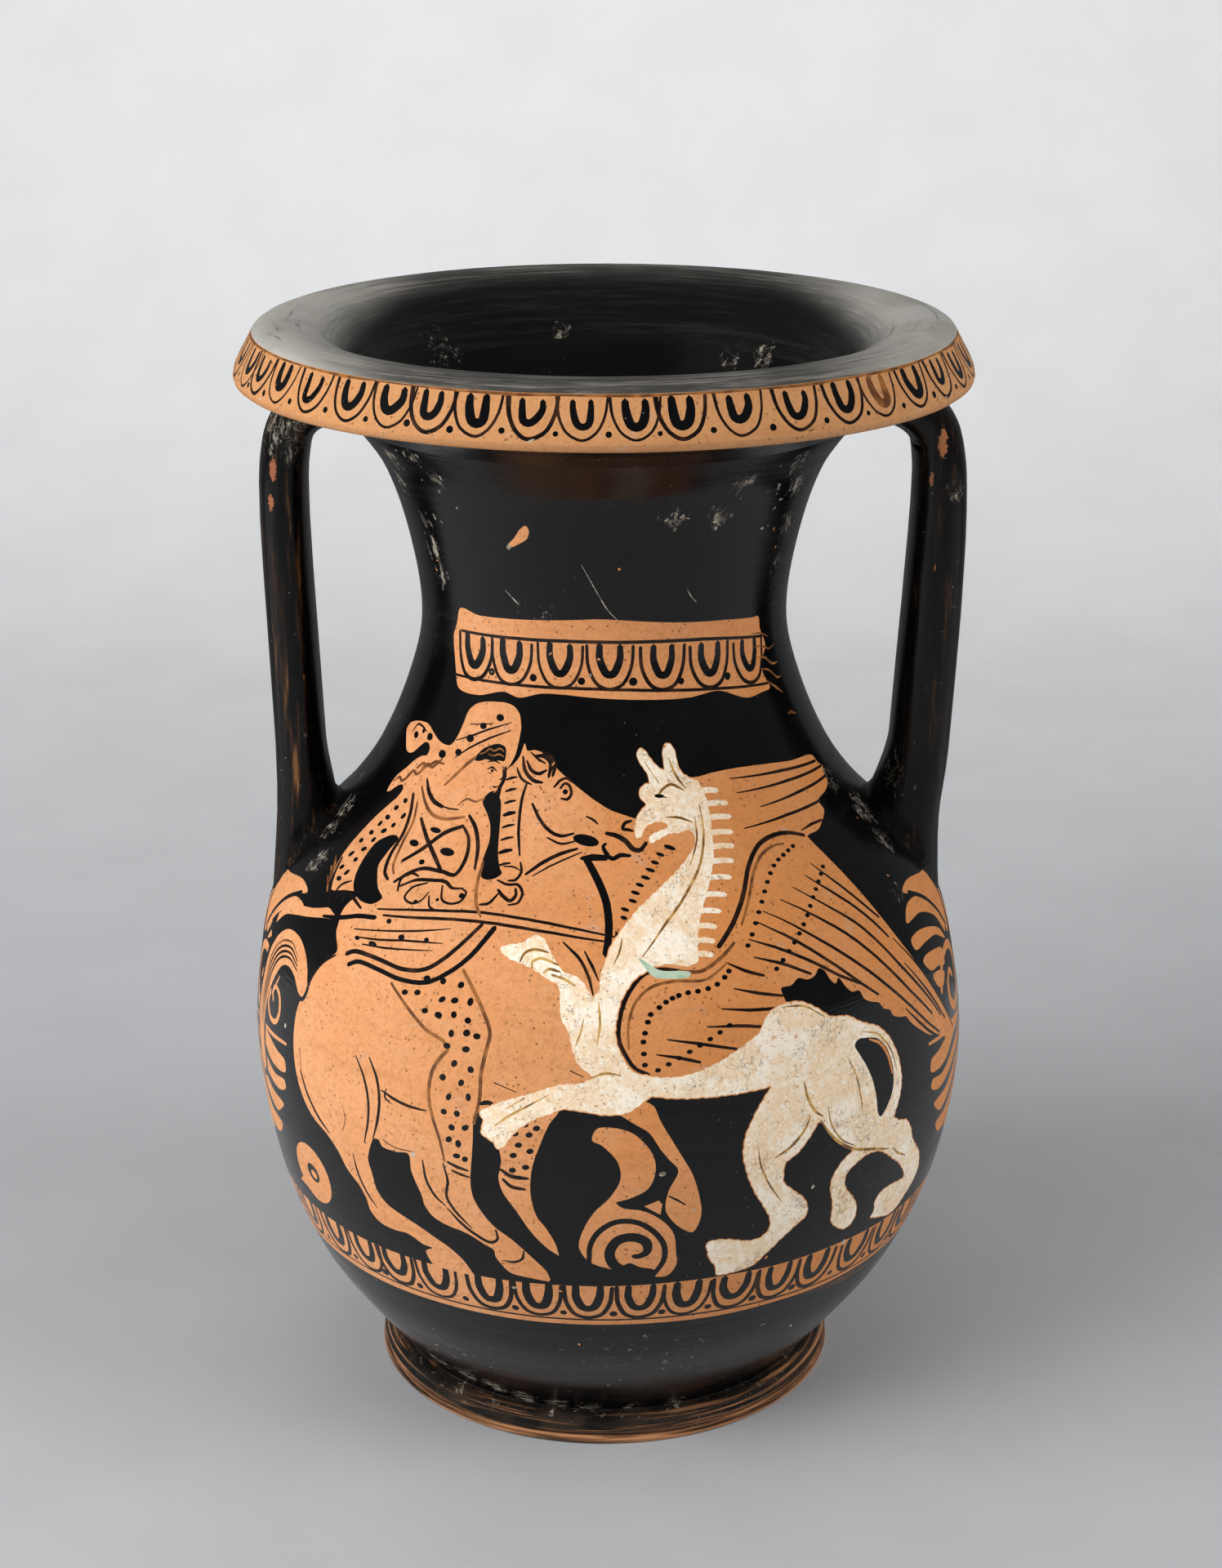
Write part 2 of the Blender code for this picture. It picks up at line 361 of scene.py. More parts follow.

# Kinds of paint, in the order of the jar's materials
# The worn kind is the lip top's rubbed black, which also carries painted sheen towards its sides.
GLOSS, CLAY, WHITE, DILUTE, DEPOSIT, GREEN, WORN_AND_SHEEN, BARE, FOOT, RELIEF, OCHRE = range(11)

# Black strokes under this width are fine lines, which spread a little as they are laid
RELIEF_BELOW = 1.35
RELIEF_SPREAD = 1.2
GOLDEN_SPREAD = 1.15

# How unevenly the white's edges run, and how far clay shows round it
WHITE_WAVER = 0.24
WHITE_RIM = 0.32
WAVER_STEP = 0.8

# Colour of the crust
CRUST_COLOUR = (0.42, 0.37, 0.29)

# How much of the baked map's height each paint takes
MAP_SHARES = {
    GLOSS: 0.3,
    CLAY: 0.3,
    WHITE: 0.12,
    DILUTE: 0.05,
    RELIEF: 0.05,
    OCHRE: 0.03,
    DEPOSIT: 0.05,
    GREEN: 0.02,
    WORN_AND_SHEEN: 0.06,
    BARE: 0.06,
    FOOT: 0.04,
}


def smooth_value(stations, place):
    """Value at a place between stations (place, value), by a cubic that keeps their slopes."""
    last = len(stations) - 1
    index = 0
    while index < last - 1 and place > stations[index + 1][0]:
        index += 1
    slopes = []
    for i in (index, index + 1):
        low = stations[max(i - 1, 0)]
        high = stations[min(i + 1, last)]
        slopes.append((high[1] - low[1]) / (high[0] - low[0]))
    start, end = stations[index], stations[index + 1]
    span = end[0] - start[0]
    t = min(max((place - start[0]) / span, 0.0), 1.0)
    return (
        (2 * t**3 - 3 * t**2 + 1) * start[1]
        + (t**3 - 2 * t**2 + t) * span * slopes[0]
        + (3 * t**2 - 2 * t**3) * end[1]
        + (t**3 - t**2) * span * slopes[1]
    )


def lean(height):
    """How far the turned shape's centre sits off the axis at a height."""
    if height <= LEAN_FROM_HEIGHT:
        return 0.0
    return BELLY_LEAN * math.exp(-(((height - BELLY_LEAN_HEIGHT) / BELLY_LEAN_SPREAD) ** 2))


class Zone:
    """A turned stretch of the jar laid flat: x round the belly and z up, both in millimetres."""

    def __init__(self, stations, low, high, ground):
        self.stations = stations
        self.low = low
        self.high = high
        self.ground = ground
        self.paint = []
        heights = np.arange(low - 1.0, high + 1.001, 0.25)
        self.heights = heights
        self.radii = np.array([smooth_value(stations, z) for z in heights])
        self.slopes = np.gradient(self.radii, heights)

    def radius(self, z):
        return np.interp(z, self.heights, self.radii)

    def slope(self, z):
        return np.interp(z, self.heights, self.slopes)

    def ring(self, z):
        """(radius, height, crease) of the zone's own ring at a height."""
        return float(self.radius(z)), z, True

    def stretch(self, z):
        """Real millimetres per drawn millimetre, along x and along z."""
        return self.radius(z) / BELLY_RADIUS, np.hypot(1.0, self.slope(z))

    def place(self, x, z):
        """Points of the jar, in millimetres, for points of the flat drawing."""
        angle = x / BELLY_RADIUS
        shift = np.array([lean(height) for height in np.atleast_1d(z)])
        radius = self.radius(z)
        return np.stack([radius * np.sin(angle) + shift, -radius * np.cos(angle), z + 0.0 * x], -1)

    def normal(self, x, z):
        angle = x / BELLY_RADIUS
        slope = self.slope(z)
        flat = np.stack([np.sin(angle), -np.cos(angle), -slope], -1)
        return flat / np.linalg.norm(flat, axis=-1, keepdims=True)

    def fill(self, kind, *runs, closed=False):
        """Paints the inside of an outline made of smooth runs that meet at corners."""
        points = [smooth_run(runs[0], closed)]
        for run in runs[1:]:
            points.append(smooth_run(run))
        outline = np.vstack(points)
        if kind == WHITE:
            outline = shifted(outline, 0.0, WHITE_WAVER)
        self.paint.append((kind, outline))

    def show_rims(self, kind, under, reach):
        """Lets a narrow rim of another paint show round everything painted in one kind."""
        rims = [(under, shifted(outline, reach, 0.0)) for own, outline in self.paint if own == kind]
        first = min(place for place, (own, _) in enumerate(self.paint) if own == kind)
        self.paint[first:first] = rims

    def stroke(self, kind, points, width, ends=(0.7, 0.6), closed=False):
        """Paints a brush stroke of a real width through points; ends says how thin it ends.

        Narrow black strokes are drawn in the brown-black slip of fine lines.
        """
        if kind == GLOSS and width < RELIEF_BELOW:
            kind = RELIEF
            width *= RELIEF_SPREAD
        middle = smooth_run(points, closed)
        if closed:
            middle = np.vstack([middle, middle[:1]])
        steps = np.linalg.norm(np.diff(middle, axis=0), axis=1)
        share = np.concatenate([[0.0], np.cumsum(steps)]) / max(steps.sum(), 1e-9)
        swell = np.interp(share, [0.0, 0.25, 0.75, 1.0], [ends[0], 1.0, 1.0, ends[1]])
        along_x, along_z = self.stretch(middle[:, 1])
        tangent = np.gradient(middle, axis=0) * np.stack([along_x, along_z], -1)
        tangent /= np.maximum(np.linalg.norm(tangent, axis=1, keepdims=True), 1e-9)
        half = 0.5 * width * swell
        side = np.stack([-tangent[:, 1] * half / along_x, tangent[:, 0] * half / along_z], -1)
        ahead = np.stack([tangent[:, 0] * half / along_x, tangent[:, 1] * half / along_z], -1)
        front = [middle[-1] + ahead[-1]] if not closed else []
        back = [middle[0] - ahead[0]] if not closed else []
        outline = np.vstack([middle - side, *front, (middle + side)[::-1], *back])
        self.paint.append((kind, outline))

    def dot(self, kind, x, z, radius, length=None, turn=0.0, sides=10):
        """Paints a dot of a real radius, or an oval of a real half length turned by degrees."""
        along_x, along_z = self.stretch(z)
        reach = length or radius
        tilt = math.radians(turn)
        outline = []
        for i in range(sides):
            angle = 2.0 * math.pi * i / sides
            u, v = reach * math.cos(angle), radius * math.sin(angle)
            du = u * math.cos(tilt) - v * math.sin(tilt)
            dv = u * math.sin(tilt) + v * math.cos(tilt)
            outline.append((x + du / along_x, z + dv / along_z))
        self.paint.append((kind, np.array(outline)))


def shifted(outline, reach, waver):
    """An outline moved outwards by a reach, with small uneven steps along it."""
    ring = np.vstack([outline, outline[:1]])
    along = np.concatenate([[0.0], np.cumsum(np.linalg.norm(np.diff(ring, axis=0), axis=1))])
    places = np.linspace(0.0, along[-1], max(8, int(along[-1] / WAVER_STEP)), endpoint=False)
    x = np.interp(places, along, ring[:, 0])
    z = np.interp(places, along, ring[:, 1])
    ahead = np.stack([np.roll(x, -1) - np.roll(x, 1), np.roll(z, -1) - np.roll(z, 1)], -1)
    ahead /= np.maximum(np.linalg.norm(ahead, axis=1, keepdims=True), 1e-9)
    area = 0.5 * np.sum(x * np.roll(z, -1) - z * np.roll(x, -1))
    outwards = np.stack([ahead[:, 1], -ahead[:, 0]], -1) * (1.0 if area > 0.0 else -1.0)
    steps = 0.5 * np.sin(2.1 * places) + 0.3 * np.sin(3.7 * places + 0.4 * x) + 0.2 * np.sin(0.9 * places)
    return np.stack([x, z], -1) + outwards * (reach + waver * steps)[:, None]


def smooth_run(points, closed=False):
    """A smooth line through points: two stay a straight line, more are rounded off."""
    points = np.array(points, float)
    if len(points) == 2 and not closed:
        return points
    if closed:
        points = np.vstack([points[-1:], points, points[:2]])
    else:
        first = 2.0 * points[0] - points[1]
        last = 2.0 * points[-1] - points[-2]
        points = np.vstack([first, points, last])
    knots = np.concatenate([[0.0], np.cumsum(np.sqrt(np.linalg.norm(np.diff(points, axis=0), axis=1)))])
    line = []
    for i in range(1, len(points) - 2):
        length = np.linalg.norm(points[i + 1] - points[i])
        count = max(1, math.ceil(length / CURVE_STEP))
        t = np.linspace(knots[i], knots[i + 1], count, endpoint=False)[:, None]
        line.append(spline_span(points[i - 1 : i + 3], knots[i - 1 : i + 3], t))
    if not closed:
        line.append(points[-2:-1])
    return thinned(np.vstack(line))


def spline_span(corners, knots, t):
    """Points of the rounded line between the second and third of four corners."""

    def blend(a, b, low, high):
        share = (t - low) / (high - low)
        return a * (1.0 - share) + b * share

    first = blend(corners[0], corners[1], knots[0], knots[1])
    second = blend(corners[1], corners[2], knots[1], knots[2])
    third = blend(corners[2], corners[3], knots[2], knots[3])
    before = blend(first, second, knots[0], knots[2])
    after = blend(second, third, knots[1], knots[3])
    return blend(before, after, knots[1], knots[2])


def thinned(points):
    """The fewest of the points whose straight runs stay close to the others."""
    kept = [0]
    start = 0
    last = len(points) - 1
    while start < last:
        end = start + 1
        while end < last and bulge(points[start : end + 2]) <= CURVE_TOLERANCE:
            end += 1
        kept.append(end)
        start = end
    return points[kept]


def bulge(points):
    """Farthest distance of any of the points from the straight line between the ends."""
    run = points[-1] - points[0]
    away = points - points[0]
    return np.abs(run[0] * away[:, 1] - run[1] * away[:, 0]).max() / max(np.hypot(*run), 1e-9)


def inside(outline, points):
    """Which of the points an outline winds round."""
    turns = np.zeros(len(points), int)
    x, z = points[:, 0], points[:, 1]
    for (x0, z0), (x1, z1) in zip(outline, np.roll(outline, -1, axis=0)):
        left = (x1 - x0) * (z - z0) - (x - x0) * (z1 - z0)
        turns += (z0 <= z) & (z1 > z) & (left > 0.0)
        turns -= (z0 > z) & (z1 <= z) & (left < 0.0)
    return turns != 0


def clipped(outline, limit, side):
    """The part of an outline where side * x stays under side * limit."""
    kept = []
    for start, end in zip(outline, np.roll(outline, -1, axis=0)):
        a = side * (limit - start[0])
        b = side * (limit - end[0])
        if a >= 0.0:
            kept.append(start)
        if a * b < 0.0:
            crossing = start + (end - start) * a / (a - b)
            kept.append(np.array([limit, crossing[1]]))
    return np.array(kept)


def split_up(outline):
    """An outline with points added so that no side is longer than the step between the grid's rows."""
    points = []
    for start, end in zip(outline, np.roll(outline, -1, axis=0)):
        count = max(1, math.ceil(np.hypot(*(end - start)) / ROW_STEP))
        points.append(start + (end - start) * np.arange(count)[:, None] / count)
    return np.vstack(points)


def wrapped(outline, low, high):
    """The outlines to draw for one that may run on past the seam at the back."""
    outline = outline.copy()
    outline[:, 1] = np.clip(outline[:, 1], low + EDGE_INSET, high - EDGE_INSET)
    parts = []
    for turn in (-1, 0, 1):
        moved = outline + np.array([turn * 2.0 * HALF_TURN, 0.0])
        if moved[:, 0].min() < HALF_TURN and moved[:, 0].max() > -HALF_TURN:
            part = moved
            if part[:, 0].max() > HALF_TURN:
                part = clipped(part, HALF_TURN, 1)
            if part[:, 0].min() < -HALF_TURN:
                part = clipped(part, -HALF_TURN, -1)
            parts.append(split_up(part))
    return parts


def grid_points(low, high):
    """Points for the plain grid of a zone, with every second row set half a column along."""
    rows = max(1, round((high - low) / ROW_STEP))
    column = 2.0 * HALF_TURN / COLUMNS
    points = []
    for j in range(rows + 1):
        z = low + (high - low) * j / rows
        if j % 2 and j < rows:
            points += [(-HALF_TURN, z), (HALF_TURN, z)]
            points += [(-HALF_TURN + (i + 0.5) * column, z) for i in range(COLUMNS)]
        else:
            points += [(-HALF_TURN + i * column, z) for i in range(COLUMNS + 1)]
    return points


def cut_zone(zone):
    """Triangles of a zone, cut along all its paint: (x, z) points, triangles and their kinds."""
    paint = []
    for kind, outline in zone.paint:
        paint += [(kind, part) for part in wrapped(outline, zone.low, zone.high)]
    points = grid_points(zone.low, zone.high)
    for _, outline in paint:
        for z in outline[np.abs(outline[:, 0]) == HALF_TURN, 1]:
            points += [(-HALF_TURN, z), (HALF_TURN, z)]
    edges = []
    for _, outline in paint:
        first = len(points)
        points.extend(map(tuple, outline))
        count = len(outline)
        on_seam = np.abs(outline[:, 0]) == HALF_TURN
        for k in range(count):
            following = (k + 1) % count
            if not (on_seam[k] and on_seam[following]):
                edges.append((first + k, first + following))
    flat = [Vector(p) for p in points]
    corners, _, triangles, _, _, _ = delaunay_2d_cdt(flat, edges, [], 0, 1e-5, False)
    corners = np.array([tuple(c) for c in corners])
    triangles = np.array([t for t in triangles if len(t) == 3])
    middles = corners[triangles].mean(1)
    kinds = np.full(len(triangles), zone.ground)
    for kind, outline in paint:
        low, high = outline.min(0), outline.max(0)
        near = np.nonzero(((middles >= low) & (middles <= high)).all(1))[0]
        kinds[near[inside(outline, middles[near])]] = kind
    return on_the_edges(corners, zone), triangles, kinds


def on_the_edges(corners, zone):
    """The corners with those on the zone's edges set exactly where its neighbours have theirs."""
    column = 2.0 * HALF_TURN / COLUMNS
    for edge in (zone.low, zone.high):
        near = np.abs(corners[:, 1] - edge) < ON_THE_EDGE
        corners[near, 1] = edge
        corners[near, 0] = -HALF_TURN + column * np.round((corners[near, 0] + HALF_TURN) / column)
    for edge in (-HALF_TURN, HALF_TURN):
        corners[np.abs(corners[:, 0] - edge) < ON_THE_EDGE, 0] = edge
    return corners


class Shell:
    """Collects faces with their corner normals and kinds, and makes one mesh of them."""

    def __init__(self):
        self.points = []
        self.faces = []
        self.normals = []
        self.kinds = []
        self.flat = []
        self.count = 0

    def add(self, points, faces, normals, kinds, flat):
        """points and their flat drawing places, faces as indices, a normal for each face corner."""
        self.points.append(points)
        self.flat.append(flat)
        for face in faces:
            self.faces.append([self.count + k for k in face])
        self.normals.extend(normals)
        self.kinds.extend(kinds)
        self.count += len(points)

    def mesh(self, name):
        points = np.vstack(self.points) * MM
        spots = np.round(points, 8) + 0.0
        _, first, which = np.unique(spots, axis=0, return_index=True, return_inverse=True)
        which = which.ravel()
        flat = np.vstack(self.flat)
        faces = []
        kinds = []
        normals = []
        places = []
        corner = 0
        for face, kind in zip(self.faces, self.kinds):
            joined = [int(which[k]) for k in face]
            if len(set(joined)) == len(joined):
                faces.append(joined)
                kinds.append(kind)
                normals += self.normals[corner : corner + len(face)]
                places += face
            corner += len(face)
        mesh = bpy.data.meshes.new(name)
        mesh.from_pydata(points[first].tolist(), [], faces)
        mesh.polygons.foreach_set("material_index", np.array(kinds, np.int32))
        mesh.shade_smooth()
        mesh.update()
        mesh.normals_split_custom_set([tuple(n) for n in normals])
        self.lay_out(mesh, kinds, flat[places])
        return mesh

    def lay_out(self, mesh, kinds, places):
        """The map for baked colours: each kind of paint has a strip of its own."""
        kind = np.repeat(np.array(kinds), [len(face.vertices) for face in mesh.polygons])
        spots = np.zeros((len(kind), 2))
        strips = sorted(set(kinds))
        total = sum(MAP_SHARES[strip] for strip in strips)
        reached = 0.0
        for strip in strips:
            own = kind == strip
            low, high = places[own].min(0), places[own].max(0)
            share = MAP_MARGIN + (1.0 - 2.0 * MAP_MARGIN) * (places[own] - low) / (high - low)
            height = MAP_SHARES[strip] / total
            spots[own] = np.stack([share[:, 0], reached + height * share[:, 1]], -1)
            reached += height
        layer = mesh.uv_layers.new(name="OFBake", do_init=False)
        layer.uv.foreach_set("vector", spots.astype(np.float32).ravel())


def add_zone(shell, zone, outline_from, outline_to):
    """The painted faces of a zone; its flat map runs from one outline length to another."""
    corners, triangles, kinds = cut_zone(zone)
    points = zone.place(corners[:, 0], corners[:, 1])
    normals = zone.normal(corners[:, 0], corners[:, 1])
    share = (corners[:, 1] - zone.low) / (zone.high - zone.low)
    flat = np.stack([corners[:, 0], outline_from + share * (outline_to - outline_from)], -1)
    shell.add(points, triangles.tolist(), normals[triangles].reshape(-1, 3), kinds.tolist(), flat)


def outline_normals(outline):
    """For each run of a turned outline, the (radius, height) normals at its two ends."""
    points = np.array([p[:2] for p in outline])
    crease = [len(p) > 2 and p[2] for p in outline]
    runs = np.diff(points, axis=0)
    lengths = np.linalg.norm(runs, axis=1, keepdims=True)
    own = np.stack([runs[:, 1], -runs[:, 0]], -1) / lengths
    ends = []
    for i in range(len(own)):
        before = own[i - 1] if i else own[i]
        after = own[i + 1] if i + 1 < len(own) else own[i]
        start = own[i] if crease[i] else own[i] + before
        end = own[i] if crease[i + 1] else own[i] + after
        ends.append((start / np.linalg.norm(start), end / np.linalg.norm(end)))
    return ends


def add_rings(shell, outline, kinds, flat_from):
    """Plain faces turned from an outline; returns the outline length reached."""
    angles = 2.0 * math.pi * (np.arange(COLUMNS + 1) / COLUMNS) - math.pi
    across, along = np.sin(angles), -np.cos(angles)
    ends = outline_normals(outline)
    reached = flat_from
    for i, (first, second) in enumerate(zip(outline, outline[1:])):
        length = math.dist(first[:2], second[:2])
        rows = []
        flats = []
        for (radius, height), at in ((first[:2], reached), (second[:2], reached + length)):
            shift = lean(height)
            rows.append(np.stack([radius * across + shift, radius * along, height + 0.0 * across], -1))
            flats.append(np.stack([angles * BELLY_RADIUS, at + 0.0 * angles], -1))
        turned = []
        for out, up in ends[i]:
            turned.append(np.stack([out * across, out * along, up + 0.0 * across], -1))
        faces = []
        normals = []
        size = COLUMNS + 1
        for k in range(COLUMNS):
            if first[0] < ON_AXIS:
                faces.append((k, size + k + 1, size + k))
                normals += [turned[0][k], turned[1][k + 1], turned[1][k]]
            elif second[0] < ON_AXIS:
                faces.append((k, k + 1, size + k))
                normals += [turned[0][k], turned[0][k + 1], turned[1][k]]
            else:
                faces.append((k, k + 1, size + k + 1, size + k))
                normals += [turned[0][k], turned[0][k + 1], turned[1][k + 1], turned[1][k]]
        shell.add(np.vstack(rows), faces, normals, [kinds[i]] * len(faces), np.vstack(flats))
        reached += length
    return reached


def all_round(seen, steps_behind):
    """Places of a pattern's units: those seen in front, then even steps round the back."""
    gap = (2.0 * HALF_TURN - (seen[-1] - seen[0])) / steps_behind
    behind = [seen[-1] + gap * (k + 1) for k in range(steps_behind - 1)]
    return seen + [x - 2.0 * HALF_TURN if x > HALF_TURN else x for x in behind]


def paint_lip(zone):
    """Egg pattern on the lip: black hooks in thin arches, with dots between."""
    rng = random.Random(11)
    seen = [-139, -127, -112, -95, -78, -63, -50, -36, -20, -6, 9, 22, 39, 57, 74, 88, 105, 122, 138]
    centres = all_round(seen, LIP_EGGS_BEHIND)
    for x in centres:
        slant = rng.uniform(-0.8, 0.8)
        arm = LIP_HOOK_ARM + rng.uniform(-0.4, 0.4)
        foot = 330.4 + rng.uniform(-0.6, 0.6)
        width = rng.uniform(1.9, 2.8)
        head = 337.0 + rng.uniform(-0.5, 0.3)
        kind = DILUTE if x in LIP_WORN_EGGS else GLOSS
        hook = [
            (x - arm, head),
            (x - arm + 0.2, 334.2),
            (x - 1.5 + slant, foot + 0.9),
            (x + slant, foot + 0.3),
            (x + 1.6 + slant, foot + 1.0),
            (x + arm, 334.4),
            (x + arm - 0.1, head + rng.uniform(-0.4, 0.2)),
        ]
        zone.stroke(kind, hook, width, ends=(0.75, 0.7))
        arch = [
            (x - 7.2, 337.9),
            (x - 6.4, 333.0),
            (x - 3.9, 328.9),
            (x + slant, 327.1),
            (x + 4.1, 329.0),
            (x + 6.5, 333.1),
            (x + 7.3, 337.8),
        ]
        zone.stroke(GLOSS, arch, rng.uniform(0.55, 1.0), ends=(1.3, 0.9))
    for left, right in zip(sorted(centres), sorted(centres)[1:]):
        zone.dot(GLOSS, 0.5 * (left + right), 328.6 + rng.uniform(-0.4, 0.4), rng.uniform(0.7, 1.1))
    across = np.linspace(-HALF_TURN, HALF_TURN, 61)
    top = [(x, 338.3) for x in across]
    margin = [(x, 337.7 + rng.uniform(-0.25, 0.25)) for x in across[::-1]]
    zone.fill(DILUTE, top, margin)
    for _ in range(LIP_SPECKS):
        x = rng.choice([rng.uniform(-175.0, -105.0), rng.uniform(100.0, 175.0), rng.uniform(-350.0, 350.0)])
        z = rng.choice([326.3, 326.5, 327.0, 331.0, 336.0]) + rng.uniform(0.0, 0.6)
        kind = rng.choice([GLOSS, DEPOSIT, DILUTE])
        radius, length = rng.uniform(0.15, 0.4), rng.uniform(0.3, 1.3)
        zone.dot(kind, x, z, radius, length=length, turn=rng.uniform(-25.0, 25.0), sides=6)


def paint_ground_band(zone):
    """The egg band that the figures stand on, all the way round."""
    rng = random.Random(5)
    across = np.linspace(-HALF_TURN, HALF_TURN, 37)
    upper = [74.0 + 0.5 * math.sin(0.021 * x) + rng.uniform(-0.25, 0.25) for x in across]
    lower = [57.8 + 0.3 * math.sin(0.017 * x) + rng.uniform(-0.2, 0.2) for x in across]
    upper[-1], lower[-1] = upper[0], lower[0]
    top = list(zip(across, upper))
    bottom = list(zip(across, lower))[::-1]
    zone.fill(CLAY, top, bottom)
    seen = [-123, -104.5, -88, -74, -57.5, -38.5, -22.5, -6.5, 10, 25, 41, 56.5, 71.5, 89.5, 106, 120]
    centres = all_round(seen, GROUND_EGGS_BEHIND)
    line = [(x, 60.0 + 0.2 * math.sin(0.05 * x)) for x in across]
    zone.stroke(GLOSS, line, 0.6, ends=(1.0, 1.0))
    for x in centres:
        arm = 3.8 + rng.uniform(-0.4, 0.4)
        foot = 64.9 + rng.uniform(-0.4, 0.4)
        hook = [
            (x - arm, 73.6),
            (x - arm, 69.5),
            (x - 1.7, foot + 0.5),
            (x, foot),
            (x + 1.9, foot + 0.6),
            (x + arm, 69.6),
            (x + arm + 0.2, 73.8),
        ]
        zone.stroke(GLOSS, hook, rng.uniform(2.4, 2.9), ends=(0.8, 0.75))
        arch = [
            (x - 7.5, 73.6),
            (x - 6.9, 67.0),
            (x - 4.2, 62.2),
            (x, 60.9),
            (x + 4.4, 62.3),
            (x + 7.0, 67.0),
            (x + 7.6, 73.2),
        ]
        zone.stroke(GLOSS, arch, rng.uniform(0.9, 1.3), ends=(0.9, 0.9))
    for left, right in zip(sorted(centres), sorted(centres)[1:]):
        zone.dot(GLOSS, 0.5 * (left + right), 62.6, rng.uniform(1.0, 1.4))


def paint_neck_egg(zone, rng, x, top):
    """One egg of the front neck panel: a black hook in a thin arch."""
    arm = 6.0 + rng.uniform(-0.4, 0.4)
    hook = [
        (x - arm, top), (x - arm, top - 4.0), (x - 2.5, top - 8.2), (x, top - 8.8), (x + 2.6, top - 8.2),
        (x + arm, top - 4.0), (x + arm, top - 0.3),
    ]
    zone.stroke(GLOSS, hook, rng.uniform(2.2, 2.7), ends=(0.8, 0.75))
    arch = [
        (x - 13.5, top), (x - 12.8, top - 6.0), (x - 8.0, top - 11.2), (x, top - 13.0), (x + 8.2, top - 11.2),
        (x + 12.9, top - 6.0), (x + 13.7, top - 0.3),
    ]
    zone.stroke(GLOSS, arch, rng.uniform(0.7, 1.1), ends=(0.9, 0.9))


def paint_neck_panel(zone):
    """Reserved panel on the front of the neck, with a row of eggs."""
    upper = [
        (-104, 251), (-100, 256), (-96, 260.8), (-80, 260.3), (-60, 261), (-20, 262.5), (0, 263), (40, 261),
        (80, 259), (100, 257.5), (108, 256.8), (110, 253), (115, 249), (116, 247),
    ]
    lower = [
        (110, 243), (109, 240), (113, 235), (104, 234.5), (90, 234.5), (70, 238.5), (50, 238), (10, 239),
        (-35, 240), (-50, 238), (-60, 239), (-78, 236.5), (-94, 237), (-97, 239),
    ]
    zone.fill(CLAY, upper + lower, closed=True)
    rng = random.Random(23)
    top_line = [(-96, 254), (-50, 255.4), (-10, 256), (60, 254.6), (113, 250.4)]
    zone.stroke(GLOSS, top_line, 0.9, ends=(0.8, 0.8))
    bottom_line = [(-99, 240.4), (-50, 241.6), (0, 242), (60, 239.7), (112, 236.2)]
    zone.stroke(GLOSS, bottom_line, 0.8, ends=(0.8, 0.8))
    for x in (-84, -57, -26, 3.5, 35, 66, 98):
        paint_neck_egg(zone, rng, x, 255.0 - 0.02 * max(x, 0.0) - 0.0002 * x * x)
    for x, z in ((-70, 244.0), (-42, 244.2), (-13, 244.2), (17, 244.0), (46, 243.0), (78, 242.0)):
        zone.dot(GLOSS, x, z, rng.uniform(0.9, 1.3))


def paint_disc(zone):
    """A disc with a dotted centre, under the horse's tail."""
    zone.dot(CLAY, -109.5, 88.3, 10.3, sides=22)
    zone.dot(GLOSS, -109.0, 88.6, 3.2, length=3.6, turn=-20.0, sides=12)
    zone.dot(CLAY, -108.6, 88.2, 1.5, length=1.8, turn=-20.0)
    zone.fill(CLAY, [(-117, 83.5), (-121.5, 81), (-117.5, 80.5), (-113, 79.5)], closed=True)


def paint_tendril(zone):
    """A plant tendril that rolls up into a spiral under the raised foreleg."""
    outer = [
        (-4.5, 124), (-3, 127.5), (3, 127.6), (8, 125.5), (12.9, 119.3), (13.6, 114), (11.5, 108.5),
        (6.5, 105.5), (2.2, 104), (4, 102.2), (10, 101), (15.5, 97.5), (19.2, 92.5), (20.2, 86), (20.6, 81),
        (18, 77.2), (14.6, 77), (8, 78.6), (0, 80.6), (-5, 82.5), (-7.2, 84.5), (-9, 88.5), (-8, 93.5),
        (-4.5, 100.5), (0.5, 106), (3.5, 112), (2.6, 117.5), (-1.8, 122.5),
    ]
    zone.fill(CLAY, outer, closed=True)
    turn = [
        (-6, 82.5), (-5.6, 89), (-3, 94), (2, 97.4), (8, 97.2), (13.2, 93.7), (16.5, 88.5), (16.6, 83),
        (13.8, 78),
    ]
    zone.stroke(GLOSS, turn, 1.8, ends=(0.8, 0.9))
    core = [
        (4.5, 79.6), (1.2, 82.5), (0.2, 86.5), (2.6, 90.9), (7, 92), (11, 90), (11.4, 86.6), (8.8, 85),
        (7.4, 85.1),
    ]
    zone.stroke(GLOSS, core, 3.1, ends=(1.1, 0.5))
    zone.fill(GLOSS, [(2, 79), (6, 82.6), (9.5, 81), (14, 79.6), (14, 76.5), (2, 77)], closed=True)


def paint_raised_foreleg(zone):
    """The horse's raised foreleg, bent back under the griffin."""
    leg = [
        (2, 133.5), (8, 136), (13.4, 134), (15.3, 129.5), (19.3, 122), (24.5, 112), (26.6, 104.5),
        (27.4, 99), (26.6, 95), (25, 92.4), (22.5, 93.4), (18.8, 96.8), (16.6, 101), (17.3, 107),
        (20.2, 113.8), (17.5, 117.5), (15, 121), (12, 126), (7.5, 129),
    ]
    zone.fill(CLAY, leg, closed=True)
    zone.fill(CLAY, [(10.3, 102.6), (14.5, 104.3)], [(15.6, 103), (15.1, 99.4)])
    zone.stroke(GLOSS, [(17.5, 105.5), (20, 104), (22.4, 102.2)], 0.6)


